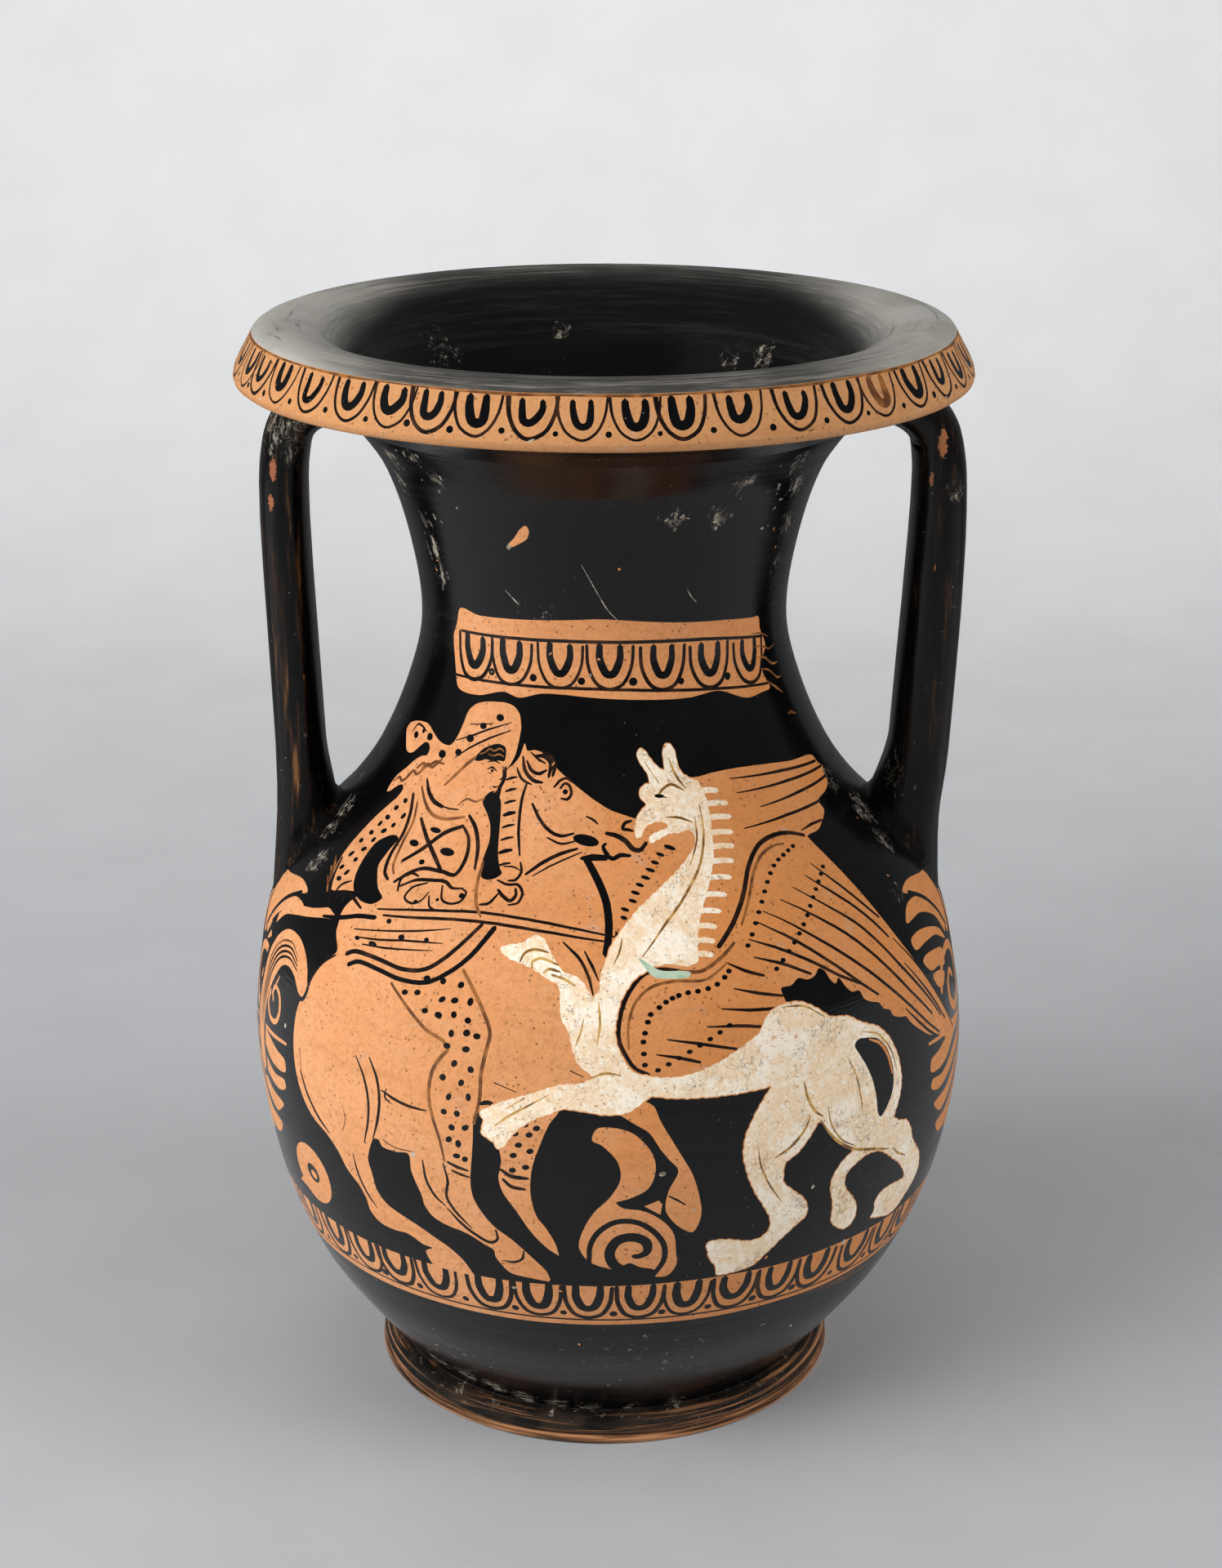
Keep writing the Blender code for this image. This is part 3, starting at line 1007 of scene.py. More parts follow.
def paint_tail(zone):
    """The horse's tail, which arches up and falls behind, with its strands."""
    tail = [
        (-109.6, 150.5), (-110.9, 154.7), (-114, 158.4), (-119, 161), (-125, 161.7), (-131, 160.8),
        (-137, 157.4), (-142.5, 151.5), (-147, 144), (-150.5, 135), (-151, 126), (-148, 117), (-144, 110),
        (-140.5, 113), (-142.5, 122), (-142, 131), (-139.3, 138), (-134, 145), (-129, 150), (-123.6, 151.6),
        (-118.6, 150.3), (-114.5, 146.5), (-112, 146),
    ]
    zone.stroke(GLOSS, tail, 4.5, closed=True)
    zone.fill(CLAY, tail, closed=True)
    for share in (0.2, 0.4, 0.6, 0.8):
        strand = [
            (-117 - 2 * share, 151.0 + 6.5 * share),
            (-124, 152.5 + 7.5 * share),
            (-131.5 - 1.5 * share, 149.8 + 8.5 * share),
            (-138 - 3 * share, 142.5 + 9.5 * share),
            (-142 - 5 * share, 133 + 6.0 * share),
            (-143.5 - 6 * share, 124 + 2.0 * share),
        ]
        zone.stroke(GLOSS if share < 0.7 else DILUTE, strand, 0.75, ends=(0.6, 0.4))
    zone.stroke(CLAY, [
        (-137.5, 139), (-139, 134.5), (-135.5, 131), (-130, 131.5), (-127.3, 135.5), (-128.5, 140.5),
        (-132.5, 142), (-135, 139.5), (-134, 137),
    ], 1.7, ends=(0.8, 0.7))


def paint_horse(zone):
    """The rearing horse's body, its hind legs and its lowered foreleg."""
    body = [
        (-110, 149), (-114.4, 141), (-115.2, 133), (-113.6, 125), (-110, 117.5), (-103.6, 110.8),
        (-96.4, 107.5), (-91.4, 103.5), (-88, 98.5), (-83.2, 94.3), (-81, 90.5), (-80, 86.3), (-76.5, 83.4),
        (-70.9, 82.6), (-65.5, 82.9), (-60.3, 80.6),
    ]
    hoof = [(-56.6, 80.2), (-59.6, 78.2), (-59, 75.8), (-57.6, 73.2)]
    sole = [(-57.6, 73.2), (-43, 73)]
    shin = [
        (-43, 73), (-46, 78), (-50, 81.6), (-55.5, 84.6), (-61, 87.2), (-67.7, 89.6), (-72.4, 91.7),
        (-75.6, 95.4), (-76.6, 100.5), (-77.7, 105), (-76.5, 109.6), (-74.7, 113.3),
    ]
    belly = [
        (-74.7, 113.3), (-72.6, 113.4), (-71.4, 111.6), (-66, 111.3), (-61.7, 111.8), (-61, 106),
        (-58.1, 98.6), (-57.5, 95.5), (-55, 92.2), (-50, 90.1), (-46, 89.4), (-42.6, 88.3), (-38.5, 86),
        (-35.4, 84.3), (-35.1, 82), (-33.4, 79.3), (-30.6, 76.6), (-25, 75.6), (-18.6, 74.8),
    ]
    far_leg = [
        (-18.1, 75.6), (-19.2, 78.7), (-22.7, 82.6), (-26, 86), (-30, 89.6), (-34.2, 92.5), (-38.2, 97.2),
        (-40.8, 102.5), (-41.2, 108), (-40.5, 114), (-39.9, 121), (-39.8, 128),
    ]
    chest = [
        (-39.8, 128), (-36, 131.5), (-15, 133), (4, 133), (6, 150), (0, 168), (4, 182), (2, 197), (-4, 199),
    ]
    withers = [(-4, 199), (-30, 201), (-50, 196)]
    back = [(-50, 196), (-90, 184), (-103, 175), (-101.5, 168), (-98.2, 164), (-101.5, 161), (-105, 157.6)]
    dock = [(-108, 152.6), (-110, 149)]
    zone.fill(CLAY, body, hoof, sole, shin, belly, far_leg, chest, withers, back, dock)
    near_fore = [
        (-40, 134), (-33, 122), (-31.3, 116), (-32.3, 110), (-31.4, 105.6), (-27.3, 99.3), (-24.2, 94),
        (-21.2, 90), (-18, 86.8), (-15.1, 84.8),
    ]
    near_back = [
        (-15.1, 84.8), (-15.9, 88.8), (-18.8, 94.6), (-21.2, 98), (-22.5, 102.6), (-22.9, 108), (-22, 115),
        (-19.6, 122), (-16.9, 128.3), (-14, 133), (-20, 137), (-40, 134),
    ]
    zone.fill(CLAY, near_fore, near_back)


def paint_horse_head(zone):
    """The horse's neck and head, turned to the griffin."""
    neck = [
        (-51, 217.5), (-47.5, 219.6), (-44.8, 222), (-43, 225.6), (-41.3, 223.8), (-36.8, 224.1),
        (-31, 223.4), (-27.5, 222), (-25.3, 220.3), (-19, 217.4), (-14.8, 215.7), (-6, 212.2), (3, 209.1),
        (9, 207.8), (14, 206.8), (18, 206), (20, 203), (19, 199.5), (12, 196.5), (2, 196), (3, 190),
        (3, 182), (-20, 178), (-50, 180), (-54, 192), (-52, 205),
    ]
    zone.fill(CLAY, neck, closed=True)
    hair = [
        ((-43, 222), (-41, 218.5), (-36, 216), (-31, 215.6), (1.0,)),
        ((-40.5, 221), (-37.5, 218.6), (-33, 217.9), (-29.5, 219), (0.9,)),
        ((-36, 222.6), (-31, 222.6), (-27.5, 220.8), (-28, 217.2), (1.1,)),
        ((-33, 224), (-28, 222.6), (-25.4, 220), (-26, 217.6), (1.1,)),
        ((-39, 223.4), (-34, 221.6), (-30.5, 220.8), (0.7,)),
        ((-45.5, 218.8), (-42, 216), (-36.5, 214.8), (0.7,)),
    ]
    for *line, (width,) in hair:
        zone.stroke(GLOSS, line, width, ends=(0.5, 0.6))
    for k in range(8):
        z = 215.6 - 3.1 * k
        x = -50.0 + 0.75 * k
        zone.stroke(GLOSS, [
            (x, z - 0.4), (x + 2.6, z + 0.3), (x + 5.2, z + 0.7),
        ], 1.4 if k in (3, 6) else 0.75)
    zone.stroke(GLOSS, [(-39, 214.8), (-40.2, 210.5), (-39.2, 203), (-36.2, 196.6)], 0.8)
    zone.stroke(GLOSS, [(-34.6, 209.8), (-30, 206), (-25, 203.4), (-19.5, 202.2), (-13.5, 203)], 0.9)
    zone.stroke(GLOSS, [(-25.4, 201.6), (-19, 200.3), (-12, 201.2)], 0.6)
    zone.stroke(GLOSS, [(-32, 192.4), (-26, 195.4), (-19, 197.8), (-11.5, 199.3)], 1.0)
    zone.stroke(GLOSS, [(-29, 192.2), (-23, 194.6), (-16, 196.8), (-9.5, 198.5)], 0.5)
    zone.dot(GLOSS, -8, 201.4, 1.7, length=3.9, turn=-12.0, sides=14)
    zone.stroke(GLOSS, [(-24.8, 214.6), (-22, 216.5), (-18.8, 217.2), (-15.6, 216.2)], 0.7)
    zone.stroke(GLOSS, [
        (-21.6, 214.4), (-19.6, 215.8), (-17, 215.2), (-15.9, 213.2), (-17.6, 211.7), (-20.8, 211.8),
    ], 0.75)
    zone.dot(GLOSS, -19, 213.6, 0.8)
    zone.stroke(GLOSS, [(-8.2, 207.4), (-5, 206.6), (-2.8, 205.5)], 0.6)
    zone.stroke(GLOSS, [(12.6, 206.2), (9.4, 205.6), (8.4, 204.3), (11, 204.0), (13, 203.6)], 0.9)
    zone.stroke(GLOSS, [
        (1, 203.2), (5.5, 202.6), (9.5, 201.2), (12.5, 199.2), (15.6, 198.9), (18.6, 200.6),
    ], 1.3)
    zone.stroke(GLOSS, [(11, 197.6), (7, 197.8), (3.5, 197), (1, 198.2), (-0.4, 200), (0.8, 200.6)], 1.4)
    zone.stroke(GLOSS, [(-9.6, 197), (-5, 197.3), (1, 197.2)], 2.2, ends=(0.5, 0.8))
    zone.stroke(GLOSS, [
        (-7.4, 196.8), (-5, 194.6), (-2.6, 192), (-0.6, 189.4), (0.9, 186.6), (1.6, 182), (1.2, 178.4),
        (0.4, 175.4),
    ], 2.3, ends=(0.9, 0.9))


def paint_horse_lines(zone):
    """Muscle lines of the horse's rump, thighs and legs."""
    lines = [
        ((-109.8, 123.4), (-105, 116.8), (-99.5, 111.4), (-94.6, 108.2), (0.95,)),
        ((-82.4, 137), (-78.6, 131.5), (-76.5, 125), (-76.6, 118), (-78.6, 110.6), (0.8,)),
        ((-76.8, 138), (-73.4, 132.5), (-72.1, 126), (-72.8, 119.5), (-74.8, 113.2), (0.9,)),
        ((-84.2, 105), (-83, 98.8), (-80.4, 93.2), (-76.7, 88.6), (0.7,)),
        ((-56.7, 111), (-56, 104.6), (-53.4, 99.8), (-50, 97), (0.8,)),
        ((-71.4, 129.4), (-66.5, 127.9), (-61, 127), (-55, 127), (0.8,)),
        ((-69.6, 130.4), (-70, 127.6), (-67.6, 126.2), (0.6,)),
        ((-34.2, 91.8), (-33.9, 88.6), (-36.2, 87), (-40.6, 88.7), (-45.5, 92.2), (-49.6, 96.4), (0.9,)),
        ((-25.8, 85.5), (-26.6, 82.4), (-29.5, 80.8), (-32.4, 81), (0.7,)),
        ((-98, 162.8), (-103, 159.6), (-107, 154.6), (-109.8, 148.6), (0.9,)),
        ((-49.8, 111.5), (-48.6, 106), (-49.4, 100.5), (-47, 96), (-42, 91), (0.8,)),
        ((-33.4, 139), (-30, 138), (-26.6, 137), (0.6,)),
        ((-10.6, 144.4), (-8.8, 143.6), (-6.8, 142.7), (0.6,)),
        ((-14, 178), (-8, 174), (-5, 169.5), (-3.6, 165), (0.8,)),
        ((-6.6, 176), (-4, 172.5), (-2, 169), (0.8,)),
    ]
    for *line, (width,) in lines:
        zone.stroke(GLOSS, line, width, ends=(0.5, 0.4))
    zone.stroke(DILUTE, [(-71, 113.9), (-66.5, 112.6), (-60, 112.9)], 0.5)
    zone.stroke(DILUTE, [(-110.5, 130), (-109.4, 124.5), (-105.6, 118)], 0.5)
    zone.stroke(DILUTE, [(-87.5, 120), (-86.4, 115.6), (-88.2, 111)], 0.4)


def paint_void(zone):
    """Black ground that shows between the spear, the tail and the horse's back."""
    spear_side = [(-150, 157.5), (-144.5, 161.8), (-138, 165), (-128, 166.6), (-119, 168.4), (-111.5, 170.4)]
    back_side = [
        (-102.6, 171.6), (-101.6, 168.4), (-98, 164), (-101.5, 160.9), (-105, 157.4), (-109.6, 150.4),
    ]
    tail_side = [
        (-110.9, 154.7), (-114, 158.6), (-119, 161.3), (-125, 162), (-131, 161.2), (-137.3, 157.8),
        (-143, 151.6),
    ]
    zone.fill(GLOSS, spear_side, back_side, tail_side)


def paint_rider(zone):
    """The rider in patterned dress and a soft cap, seated on the horse."""
    cap_back = [
        (-92, 181), (-108, 178.5), (-115.4, 177), (-120, 179.4), (-123.6, 184.2), (-124.6, 188),
        (-123.6, 192.2), (-121.4, 195.7), (-117.7, 199.4), (-114, 202.6), (-112.9, 204.8), (-114.6, 205.8),
        (-118.4, 205), (-122.4, 202.8), (-125, 202.2), (-125.4, 204), (-123.5, 207), (-118, 210.3),
        (-113.6, 213.2), (-108.6, 215.2), (-105, 215.9), (-104.2, 217.4), (-106, 218.9), (-110, 219),
        (-114, 217), (-118.6, 214.6), (-124.5, 214.3), (-130, 216.8), (-134, 219.4), (-132.4, 221.2),
        (-126.6, 222.8), (-119, 223.8), (-112, 223.9), (-106, 222.6), (-100, 221.1), (-94, 220.5),
        (-89.2, 221), (-86.4, 223.4), (-84.2, 227.4), (-82.4, 231.4), (-78.2, 233.8), (-72.3, 235.1),
        (-64, 235.8), (-57, 236), (-51.4, 235.1), (-48, 233.2), (-46.2, 229.6),
    ]
    front = [
        (-46.2, 229.6), (-46.6, 226), (-47.4, 222.4), (-49.4, 219.4), (-51.6, 217.4), (-52.6, 213),
        (-55.6, 211), (-59.6, 208.4), (-55.8, 205.2), (-53, 202.4), (-51.5, 198.6), (-51.8, 194.4),
        (-50.4, 190.6), (-48, 184), (-60, 180),
    ]
    zone.fill(CLAY, cap_back, front, [(-76, 178), (-92, 181)])
    gap = [
        (-110, 190.3), (-106.5, 192.7), (-101.8, 194.1), (-98.4, 193.6), (-99.6, 190.4), (-99.8, 186.8),
        (-96.8, 184.5), (-92.3, 182), (-88, 180.4), (-90.5, 178.5), (-95.5, 177.9), (-100.4, 178.5),
        (-105, 180.2), (-108.6, 183.5), (-110.2, 187),
    ]
    zone.fill(GLOSS, gap, closed=True)
    behind_chin = [
        (-60.4, 208.6), (-57.3, 211.4), (-53.6, 210.7), (-51, 209.6), (-49.6, 206.6), (-48, 201.5),
        (-46, 196.4), (-43.4, 193), (-42, 192), (-44.2, 190.6), (-48.2, 190), (-50.6, 190.7), (-52, 194.4),
        (-51.6, 198.9), (-53.2, 202.7), (-56, 205.3),
    ]
    zone.fill(GLOSS, behind_chin, closed=True)


def paint_rider_face(zone):
    """A calm, plain face turned to the griffin, its features set by the usual thirds of a head."""
    hair = [
        (-53.4, 223.4), (-57.5, 224.4), (-63, 223.6), (-68, 221.8), (-71.2, 218.9), (-68, 218.7),
        (-64, 219.6), (-60, 219.4), (-56.5, 219.9), (-53, 220.2),
    ]
    zone.fill(GLOSS, hair, closed=True)
    for wave in (
        [(-54.4, 222.6), (-57, 223.2), (-60, 222.3), (-63, 222.6), (-66, 221.2), (-68.6, 220.7)],
        [(-54, 221.2), (-57, 221.6), (-60, 220.9), (-63.4, 221.1)],
    ):
        zone.stroke(DILUTE, wave, 0.5)
    zone.stroke(DILUTE, [(-71, 219.4), (-76, 216.6), (-81, 213), (-85.4, 210)], 1.1, ends=(0.8, 0.5))
    zone.stroke(GLOSS, [(-62.6, 219), (-59, 219.7), (-55.4, 219.2)], 0.5, ends=(0.5, 0.4))
    zone.stroke(GLOSS, [(-62, 217.1), (-59.2, 217.8), (-56.4, 217)], 0.5, ends=(0.5, 0.5))
    zone.dot(GLOSS, -59, 216.9, 0.5)
    zone.stroke(GLOSS, [(-61, 216.2), (-58.8, 216.1)], 0.35)
    zone.stroke(GLOSS, [(-53.4, 218.6), (-52.2, 215.6), (-53.9, 214.9)], 0.45, ends=(0.6, 0.6))
    zone.stroke(GLOSS, [(-57, 212.9), (-55.6, 212.7), (-54.3, 213)], 0.5, ends=(0.5, 0.5))
    zone.stroke(GLOSS, [(-56.4, 211.5), (-55, 211.5)], 0.35)
    zone.stroke(GLOSS, [(-51.8, 218.4), (-51.4, 215.4), (-52.8, 213), (-53.6, 211.2)], 1.0, ends=(0.7, 0.7))
    zone.stroke(DILUTE, [(-60, 209.2), (-64.4, 208), (-69.4, 208.2), (-73.6, 206)], 0.7)


def paint_rider_dress(zone):
    """Crossed straps, borders, folds and dots of the rider's dress and cap."""
    for line in (
        [(-86.6, 222.6), (-78, 224.6), (-66, 227.8), (-52.5, 230.8)],
        [(-84, 218), (-76, 221.6), (-64, 225.6), (-52, 228.6)],
        [(-79, 228), (-72, 228.7), (-64, 229.6)],
    ):
        zone.stroke(GLOSS, line, 0.55, ends=(0.5, 0.4))
    for x, z, radius in (
        (-60, 231.6, 1.1), (-70, 228.4, 1.0), (-77, 224.2, 1.2), (-82.6, 219.6, 1.1), (-93.6, 217.8, 1.3),
        (-121, 219.5, 1.1), (-107.6, 220.9, 1.2), (-115, 221.5, 0.7),
    ):
        zone.dot(GLOSS, x, z, radius, length=radius * 1.25)
    zone.stroke(GLOSS, [(-126, 219.8), (-123.4, 222.2), (-118, 222.6), (-112, 221.8)], 0.6)
    for k in range(3):
        x = -124 + 9.5 * k
        z = 205.2 + 3.4 * k
        curl = [(x, z), (x + 3.5, z + 1.9), (x + 7, z + 1.4), (x + 9.6, z + 2.6), (x + 12.5, z + 4.6)]
        zone.stroke(DILUTE, curl, 1.0, ends=(0.6, 0.6))
    zone.stroke(DILUTE, [(-109, 211.6), (-106, 213.4), (-101, 213.4), (-96.5, 215.2), (-90, 215.4)], 1.0)
    zone.stroke(GLOSS, [(-98.4, 210.1), (-94.4, 207.4), (-88.6, 205.3), (-82, 204.6)], 1.2, ends=(0.5, 0.8))
    zone.stroke(DILUTE, [(-100, 207.6), (-93.4, 204.2), (-86, 202), (-78, 201.8), (-67.6, 203.6)], 1.1)
    zone.stroke(GLOSS, [(-72.4, 205), (-78, 204.6), (-83, 204.8)], 0.5)
    zone.stroke(GLOSS, [(-91.6, 200.2), (-84, 196.6), (-76, 193.2), (-68.8, 189.9)], 1.2, ends=(0.8, 0.8))
    zone.stroke(GLOSS, [(-89.4, 189.4), (-83, 193.2), (-75, 198.6), (-66.8, 201.3)], 1.2, ends=(0.8, 0.8))
    for x, z, radius, length in (
        (-80.4, 198.6, 0.9, 2.2), (-88.5, 194.1, 1.1, 2.0), (-69.8, 194.4, 1.3, 2.7),
        (-79.6, 190.6, 0.9, 1.1),
    ):
        zone.dot(GLOSS, x, z, radius, length=length)
    zone.stroke(GLOSS, [
        (-103.8, 205), (-99.6, 200.4), (-97.4, 195.4), (-97.4, 190), (-94.6, 186), (-90.6, 184.6),
    ], 1.2, ends=(0.9, 0.7))
    zone.stroke(DILUTE, [(-98.6, 203.6), (-95.2, 198.6), (-94.8, 193), (-92.6, 188), (-89.6, 186.2)], 1.1)
    zone.stroke(GLOSS, [(-65.4, 204.2), (-60, 201.4), (-56, 197), (-54.2, 192)], 1.1, ends=(0.7, 0.6))
    zone.stroke(GLOSS, [
        (-66, 201), (-61.8, 198.6), (-59.9, 194.6), (-61.4, 190), (-68, 189.8), (-77, 189.4), (-83, 187.4),
        (-87, 184.6),
    ], 1.1, ends=(0.7, 0.8))
    zone.stroke(GLOSS, [
        (-83.2, 184.2), (-78, 186.4), (-71, 187.4), (-64.4, 187.8), (-60.6, 186.8), (-56, 187.2),
    ], 1.0, ends=(0.6, 0.5))
    zone.stroke(GLOSS, [
        (-72, 186.6), (-77.6, 184.6), (-78.6, 182.4), (-74.6, 181.4), (-70.8, 182.6), (-69.4, 184.8),
    ], 0.7)
    zone.stroke(GLOSS, [
        (-65, 186.8), (-62.8, 184), (-58.4, 183.4), (-54.6, 184.6), (-54, 186.4), (-57, 187.2),
    ], 0.7)
    for line, width in (
        ([(-43, 190.3), (-38.6, 189.6), (-34, 189.8), (-31.6, 188), (-32.4, 186), (-36, 185.2)], 0.75),
        ([(-41.6, 188.2), (-38.6, 186.8), (-35.4, 186.2), (-34, 187.6), (-34.8, 188.9)], 1.0),
        ([(-35.2, 195), (-34, 192.8), (-35.6, 190.9), (-38.6, 190.5)], 0.75),
        ([(-42, 193.6), (-38, 193.8), (-34.8, 193.2)], 0.5),
        ([(-47, 184.4), (-43.6, 185), (-41, 187.4)], 0.8),
        ([(-83, 183), (-84.6, 185.6), (-81.4, 187.6), (-77.4, 187.4)], 0.8),
        ([(-68.6, 184), (-66.4, 181.8), (-62.4, 181.2)], 0.6),
    ):
        zone.stroke(GLOSS, line, width, ends=(0.7, 0.6))
    zone.stroke(DILUTE, [(-51.6, 194), (-50.8, 188.6), (-48.4, 184.4), (-45, 181.8)], 1.1)
    for x, z, radius in ((-55.4, 185.6, 0.9), (-64.4, 183.6, 0.6), (-73, 182, 0.7)):
        zone.dot(GLOSS, x, z, radius)
    sleeve = (
        (-107, 202.6), (-110.6, 200), (-103, 199), (-112.8, 197), (-106, 196), (-115.2, 194.8), (-117, 192),
        (-109.8, 193.8), (-112.4, 190.9), (-119.6, 189.3), (-114, 188.1), (-119, 185.8), (-114, 185.3),
        (-118.4, 182.4), (-113.4, 182), (-115.2, 180),
    )
    for k, (x, z) in enumerate(sleeve):
        zone.dot(GLOSS, x, z, 0.85, length=1.05 + 0.1 * (k % 4), turn=30.0 * (k % 3))
    for k in range(3):
        z = 183.4 - 2.2 * k
        x = -127 + 2.2 * k
        zone.stroke(DILUTE, [(x, z), (x + 3.2, z - 1.4), (x + 5.6, z - 3.0)], 0.9)
    zone.stroke(GLOSS, [(-122.6, 184), (-118.6, 179), (-113, 174.4), (-111, 173)], 1.1)
    zone.stroke(GLOSS, [(-112.6, 176), (-111.6, 179), (-107.6, 181)], 0.8)
    zone.stroke(GLOSS, [(-111.8, 174.2), (-109.6, 176.6), (-105.6, 178.4), (-100, 177.6), (-95, 176.4)], 1.0)


def paint_saddle(zone):
    """The spear and the fringed saddle cloth that runs round under the rider."""
    shaft_top = [(-144, 161.6), (-138, 166), (-129, 168.6), (-120, 170.4), (-111, 173)]
    shaft_bottom = [(-103, 171.5), (-111.5, 169.9), (-120, 167.8), (-129, 165.8), (-138, 163), (-144, 158.4)]
    zone.fill(CLAY, shaft_top, shaft_bottom)
    zone.stroke(GLOSS, [(-112, 170.3), (-102.6, 172.2), (-94.6, 174.5), (-86.6, 175.7)], 1.5, ends=(0.6, 1.0))
    zone.stroke(GLOSS, [
        (-87.4, 177.8), (-76, 179.6), (-62, 181.4), (-45, 182.8), (-25, 182.4), (-8, 180.9), (3.6, 179.4),
    ], 0.8, ends=(0.6, 0.6))
    zone.stroke(GLOSS, [
        (-83.6, 176.9), (-70, 178.6), (-55, 180.2), (-40, 180.8), (-20, 180.1), (0, 178.4),
    ], 0.85)
    for line in (
        [(-93.6, 171.2), (-84, 172.8), (-70, 175.2), (-54.6, 178)],
        [(-91, 169.6), (-82, 170.8), (-70, 172.8), (-56, 174.2)],
        [(-87.6, 168.4), (-78, 169.4), (-68, 170.8), (-59, 172)],
    ):
        zone.stroke(GLOSS, line, 0.6, ends=(0.6, 0.4))
    for x, z, radius, length in (
        (-80, 176, 0.8, 1.0), (-72.4, 173.2, 0.9, 1.2), (-90.8, 169.4, 0.7, 1.1), (-83.2, 169.4, 0.8, 1.7),
        (-62.4, 174.2, 0.7, 0.9),
    ):
        zone.dot(GLOSS, x, z, radius, length=length)
    zone.stroke(GLOSS, [
        (-93.2, 164.4), (-90, 165.9), (-80, 166.3), (-68, 165.6), (-60, 167), (-53.6, 171), (-48, 176),
        (-43.6, 180.2),
    ], 1.1, ends=(1.1, 0.9))
    zone.stroke(GLOSS, [
        (-91, 161.9), (-87, 163.7), (-79, 163.7), (-68, 162.8), (-58.4, 163.8), (-51.4, 167.4),
        (-45, 172.4), (-38.8, 179.8),
    ], 1.4, ends=(1.0, 1.2))


def paint_trousers(zone):
    """The rider's patterned trouser legs."""
    zone.stroke(DILUTE, [
        (-71.4, 161.2), (-64, 156), (-56, 150.8), (-50, 148.6), (-48.6, 146.6), (-50.4, 144.4),
        (-53.4, 139.6), (-54.4, 132), (-53, 125.6), (-50.6, 119), (-49.2, 112.4),
    ], 1.2)
    zone.stroke(DILUTE, [
        (-46.4, 168.8), (-42.4, 164.8), (-38.6, 160), (-35.2, 153.4), (-36.2, 148), (-37.6, 141),
        (-37.8, 134), (-39.6, 126),
    ], 1.2, ends=(0.9, 0.8))
    rng = random.Random(31)
    for k in range(12):
        z = 165.4 - 4.6 * k
        middle = np.interp(z, [112.0, 135.0, 150.0, 168.0], [-44.5, -46.0, -43.5, -52.0])
        half = np.interp(z, [112.0, 135.0, 150.0, 168.0], [2.6, 5.4, 6.2, 9.0])
        count = 3 if z > 150.0 else 2
        for j in range(count):
            x = middle + half * (2.0 * (j + 0.25 + 0.5 * (k % 2)) / count - 1.0)
            zone.dot(GLOSS, x + rng.uniform(-0.6, 0.6), z + rng.uniform(-0.7, 0.7), rng.uniform(0.8, 1.05),
                     length=rng.uniform(1.0, 1.3), turn=rng.uniform(0.0, 90.0))
    for x, z in (
        (-65.6, 159.8), (-61, 160.6), (-57.4, 156.2), (-30, 129), (-24, 127.6), (-20.6, 126.8),
        (-27, 124.6), (-22.8, 124.6), (-26, 121.2), (-22.6, 119.6), (-27.6, 117.8), (-24, 114.4),
        (-28, 113),
    ):
        zone.dot(GLOSS, x, z, 0.85, length=1.15, turn=20.0)
    zone.stroke(GLOSS, [(-48.2, 112.3), (-45, 111.2), (-41.8, 110.7)], 1.0)
    zone.stroke(GLOSS, [(-47, 109.8), (-44, 109), (-41.5, 108.6)], 0.8)
    zone.stroke(GLOSS, [(-31.6, 112.8), (-28.4, 111), (-23.4, 110.8)], 1.1)
    zone.stroke(GLOSS, [(-31, 109.7), (-28.6, 107.6), (-24.4, 107.1)], 1.0)
    zone.stroke(GLOSS, [(-37.6, 132.2), (-35.4, 132.9), (-33.4, 132.5)], 1.4)


def paint_wings(zone):
    """The griffin's two wings: the far one raised behind its neck, the near one spread back."""
    far_wing = [
        (36, 214), (50, 216.2), (68, 216.6), (90, 215.4), (110, 213.5), (130, 212.1), (134, 211),
        (136, 208.8), (139.4, 207), (136.6, 205.8), (136, 203.5), (129, 201.8), (117.6, 200.5),
        (118.3, 198.4), (113, 196.4), (106.2, 194.8), (98, 194.6), (80, 190), (40, 185),
    ]
    zone.fill(CLAY, far_wing, closed=True)
    top = [
        (6, 141), (4, 152), (6, 164), (14, 175), (0, 184), (4, 200), (26, 209), (44, 205), (60, 193),
        (78, 197.5), (95, 196.4), (99, 192), (102, 186.8), (106, 176.4), (111.5, 165.6), (117, 157.4),
        (128.2, 143.6), (141, 129), (148.5, 123),
    ]
    lower = [
        (148.5, 123), (137, 123.6), (128, 128.2), (121, 130.7), (115, 134.6), (110, 138.6), (107.7, 141.4),
    ]
    edge = [
        (107.7, 141.4), (103.2, 142.6), (100.4, 144.2), (99.5, 146), (96.4, 147.4), (94.6, 149.7),
        (91, 151), (88.2, 152.7), (86.6, 155.5), (83.4, 156), (81.2, 158.2), (79.3, 161), (77.6, 159.7),
        (75.7, 161.5), (74.6, 163.9), (72.6, 165), (70.2, 163.4), (67.2, 163), (64, 164), (60.8, 162.6),
        (57, 162.4), (57.8, 158.6),
    ]
    zone.fill(CLAY, top, lower, edge, [(50, 150), (30, 138), (6, 141)])
    paint_feathers(zone)


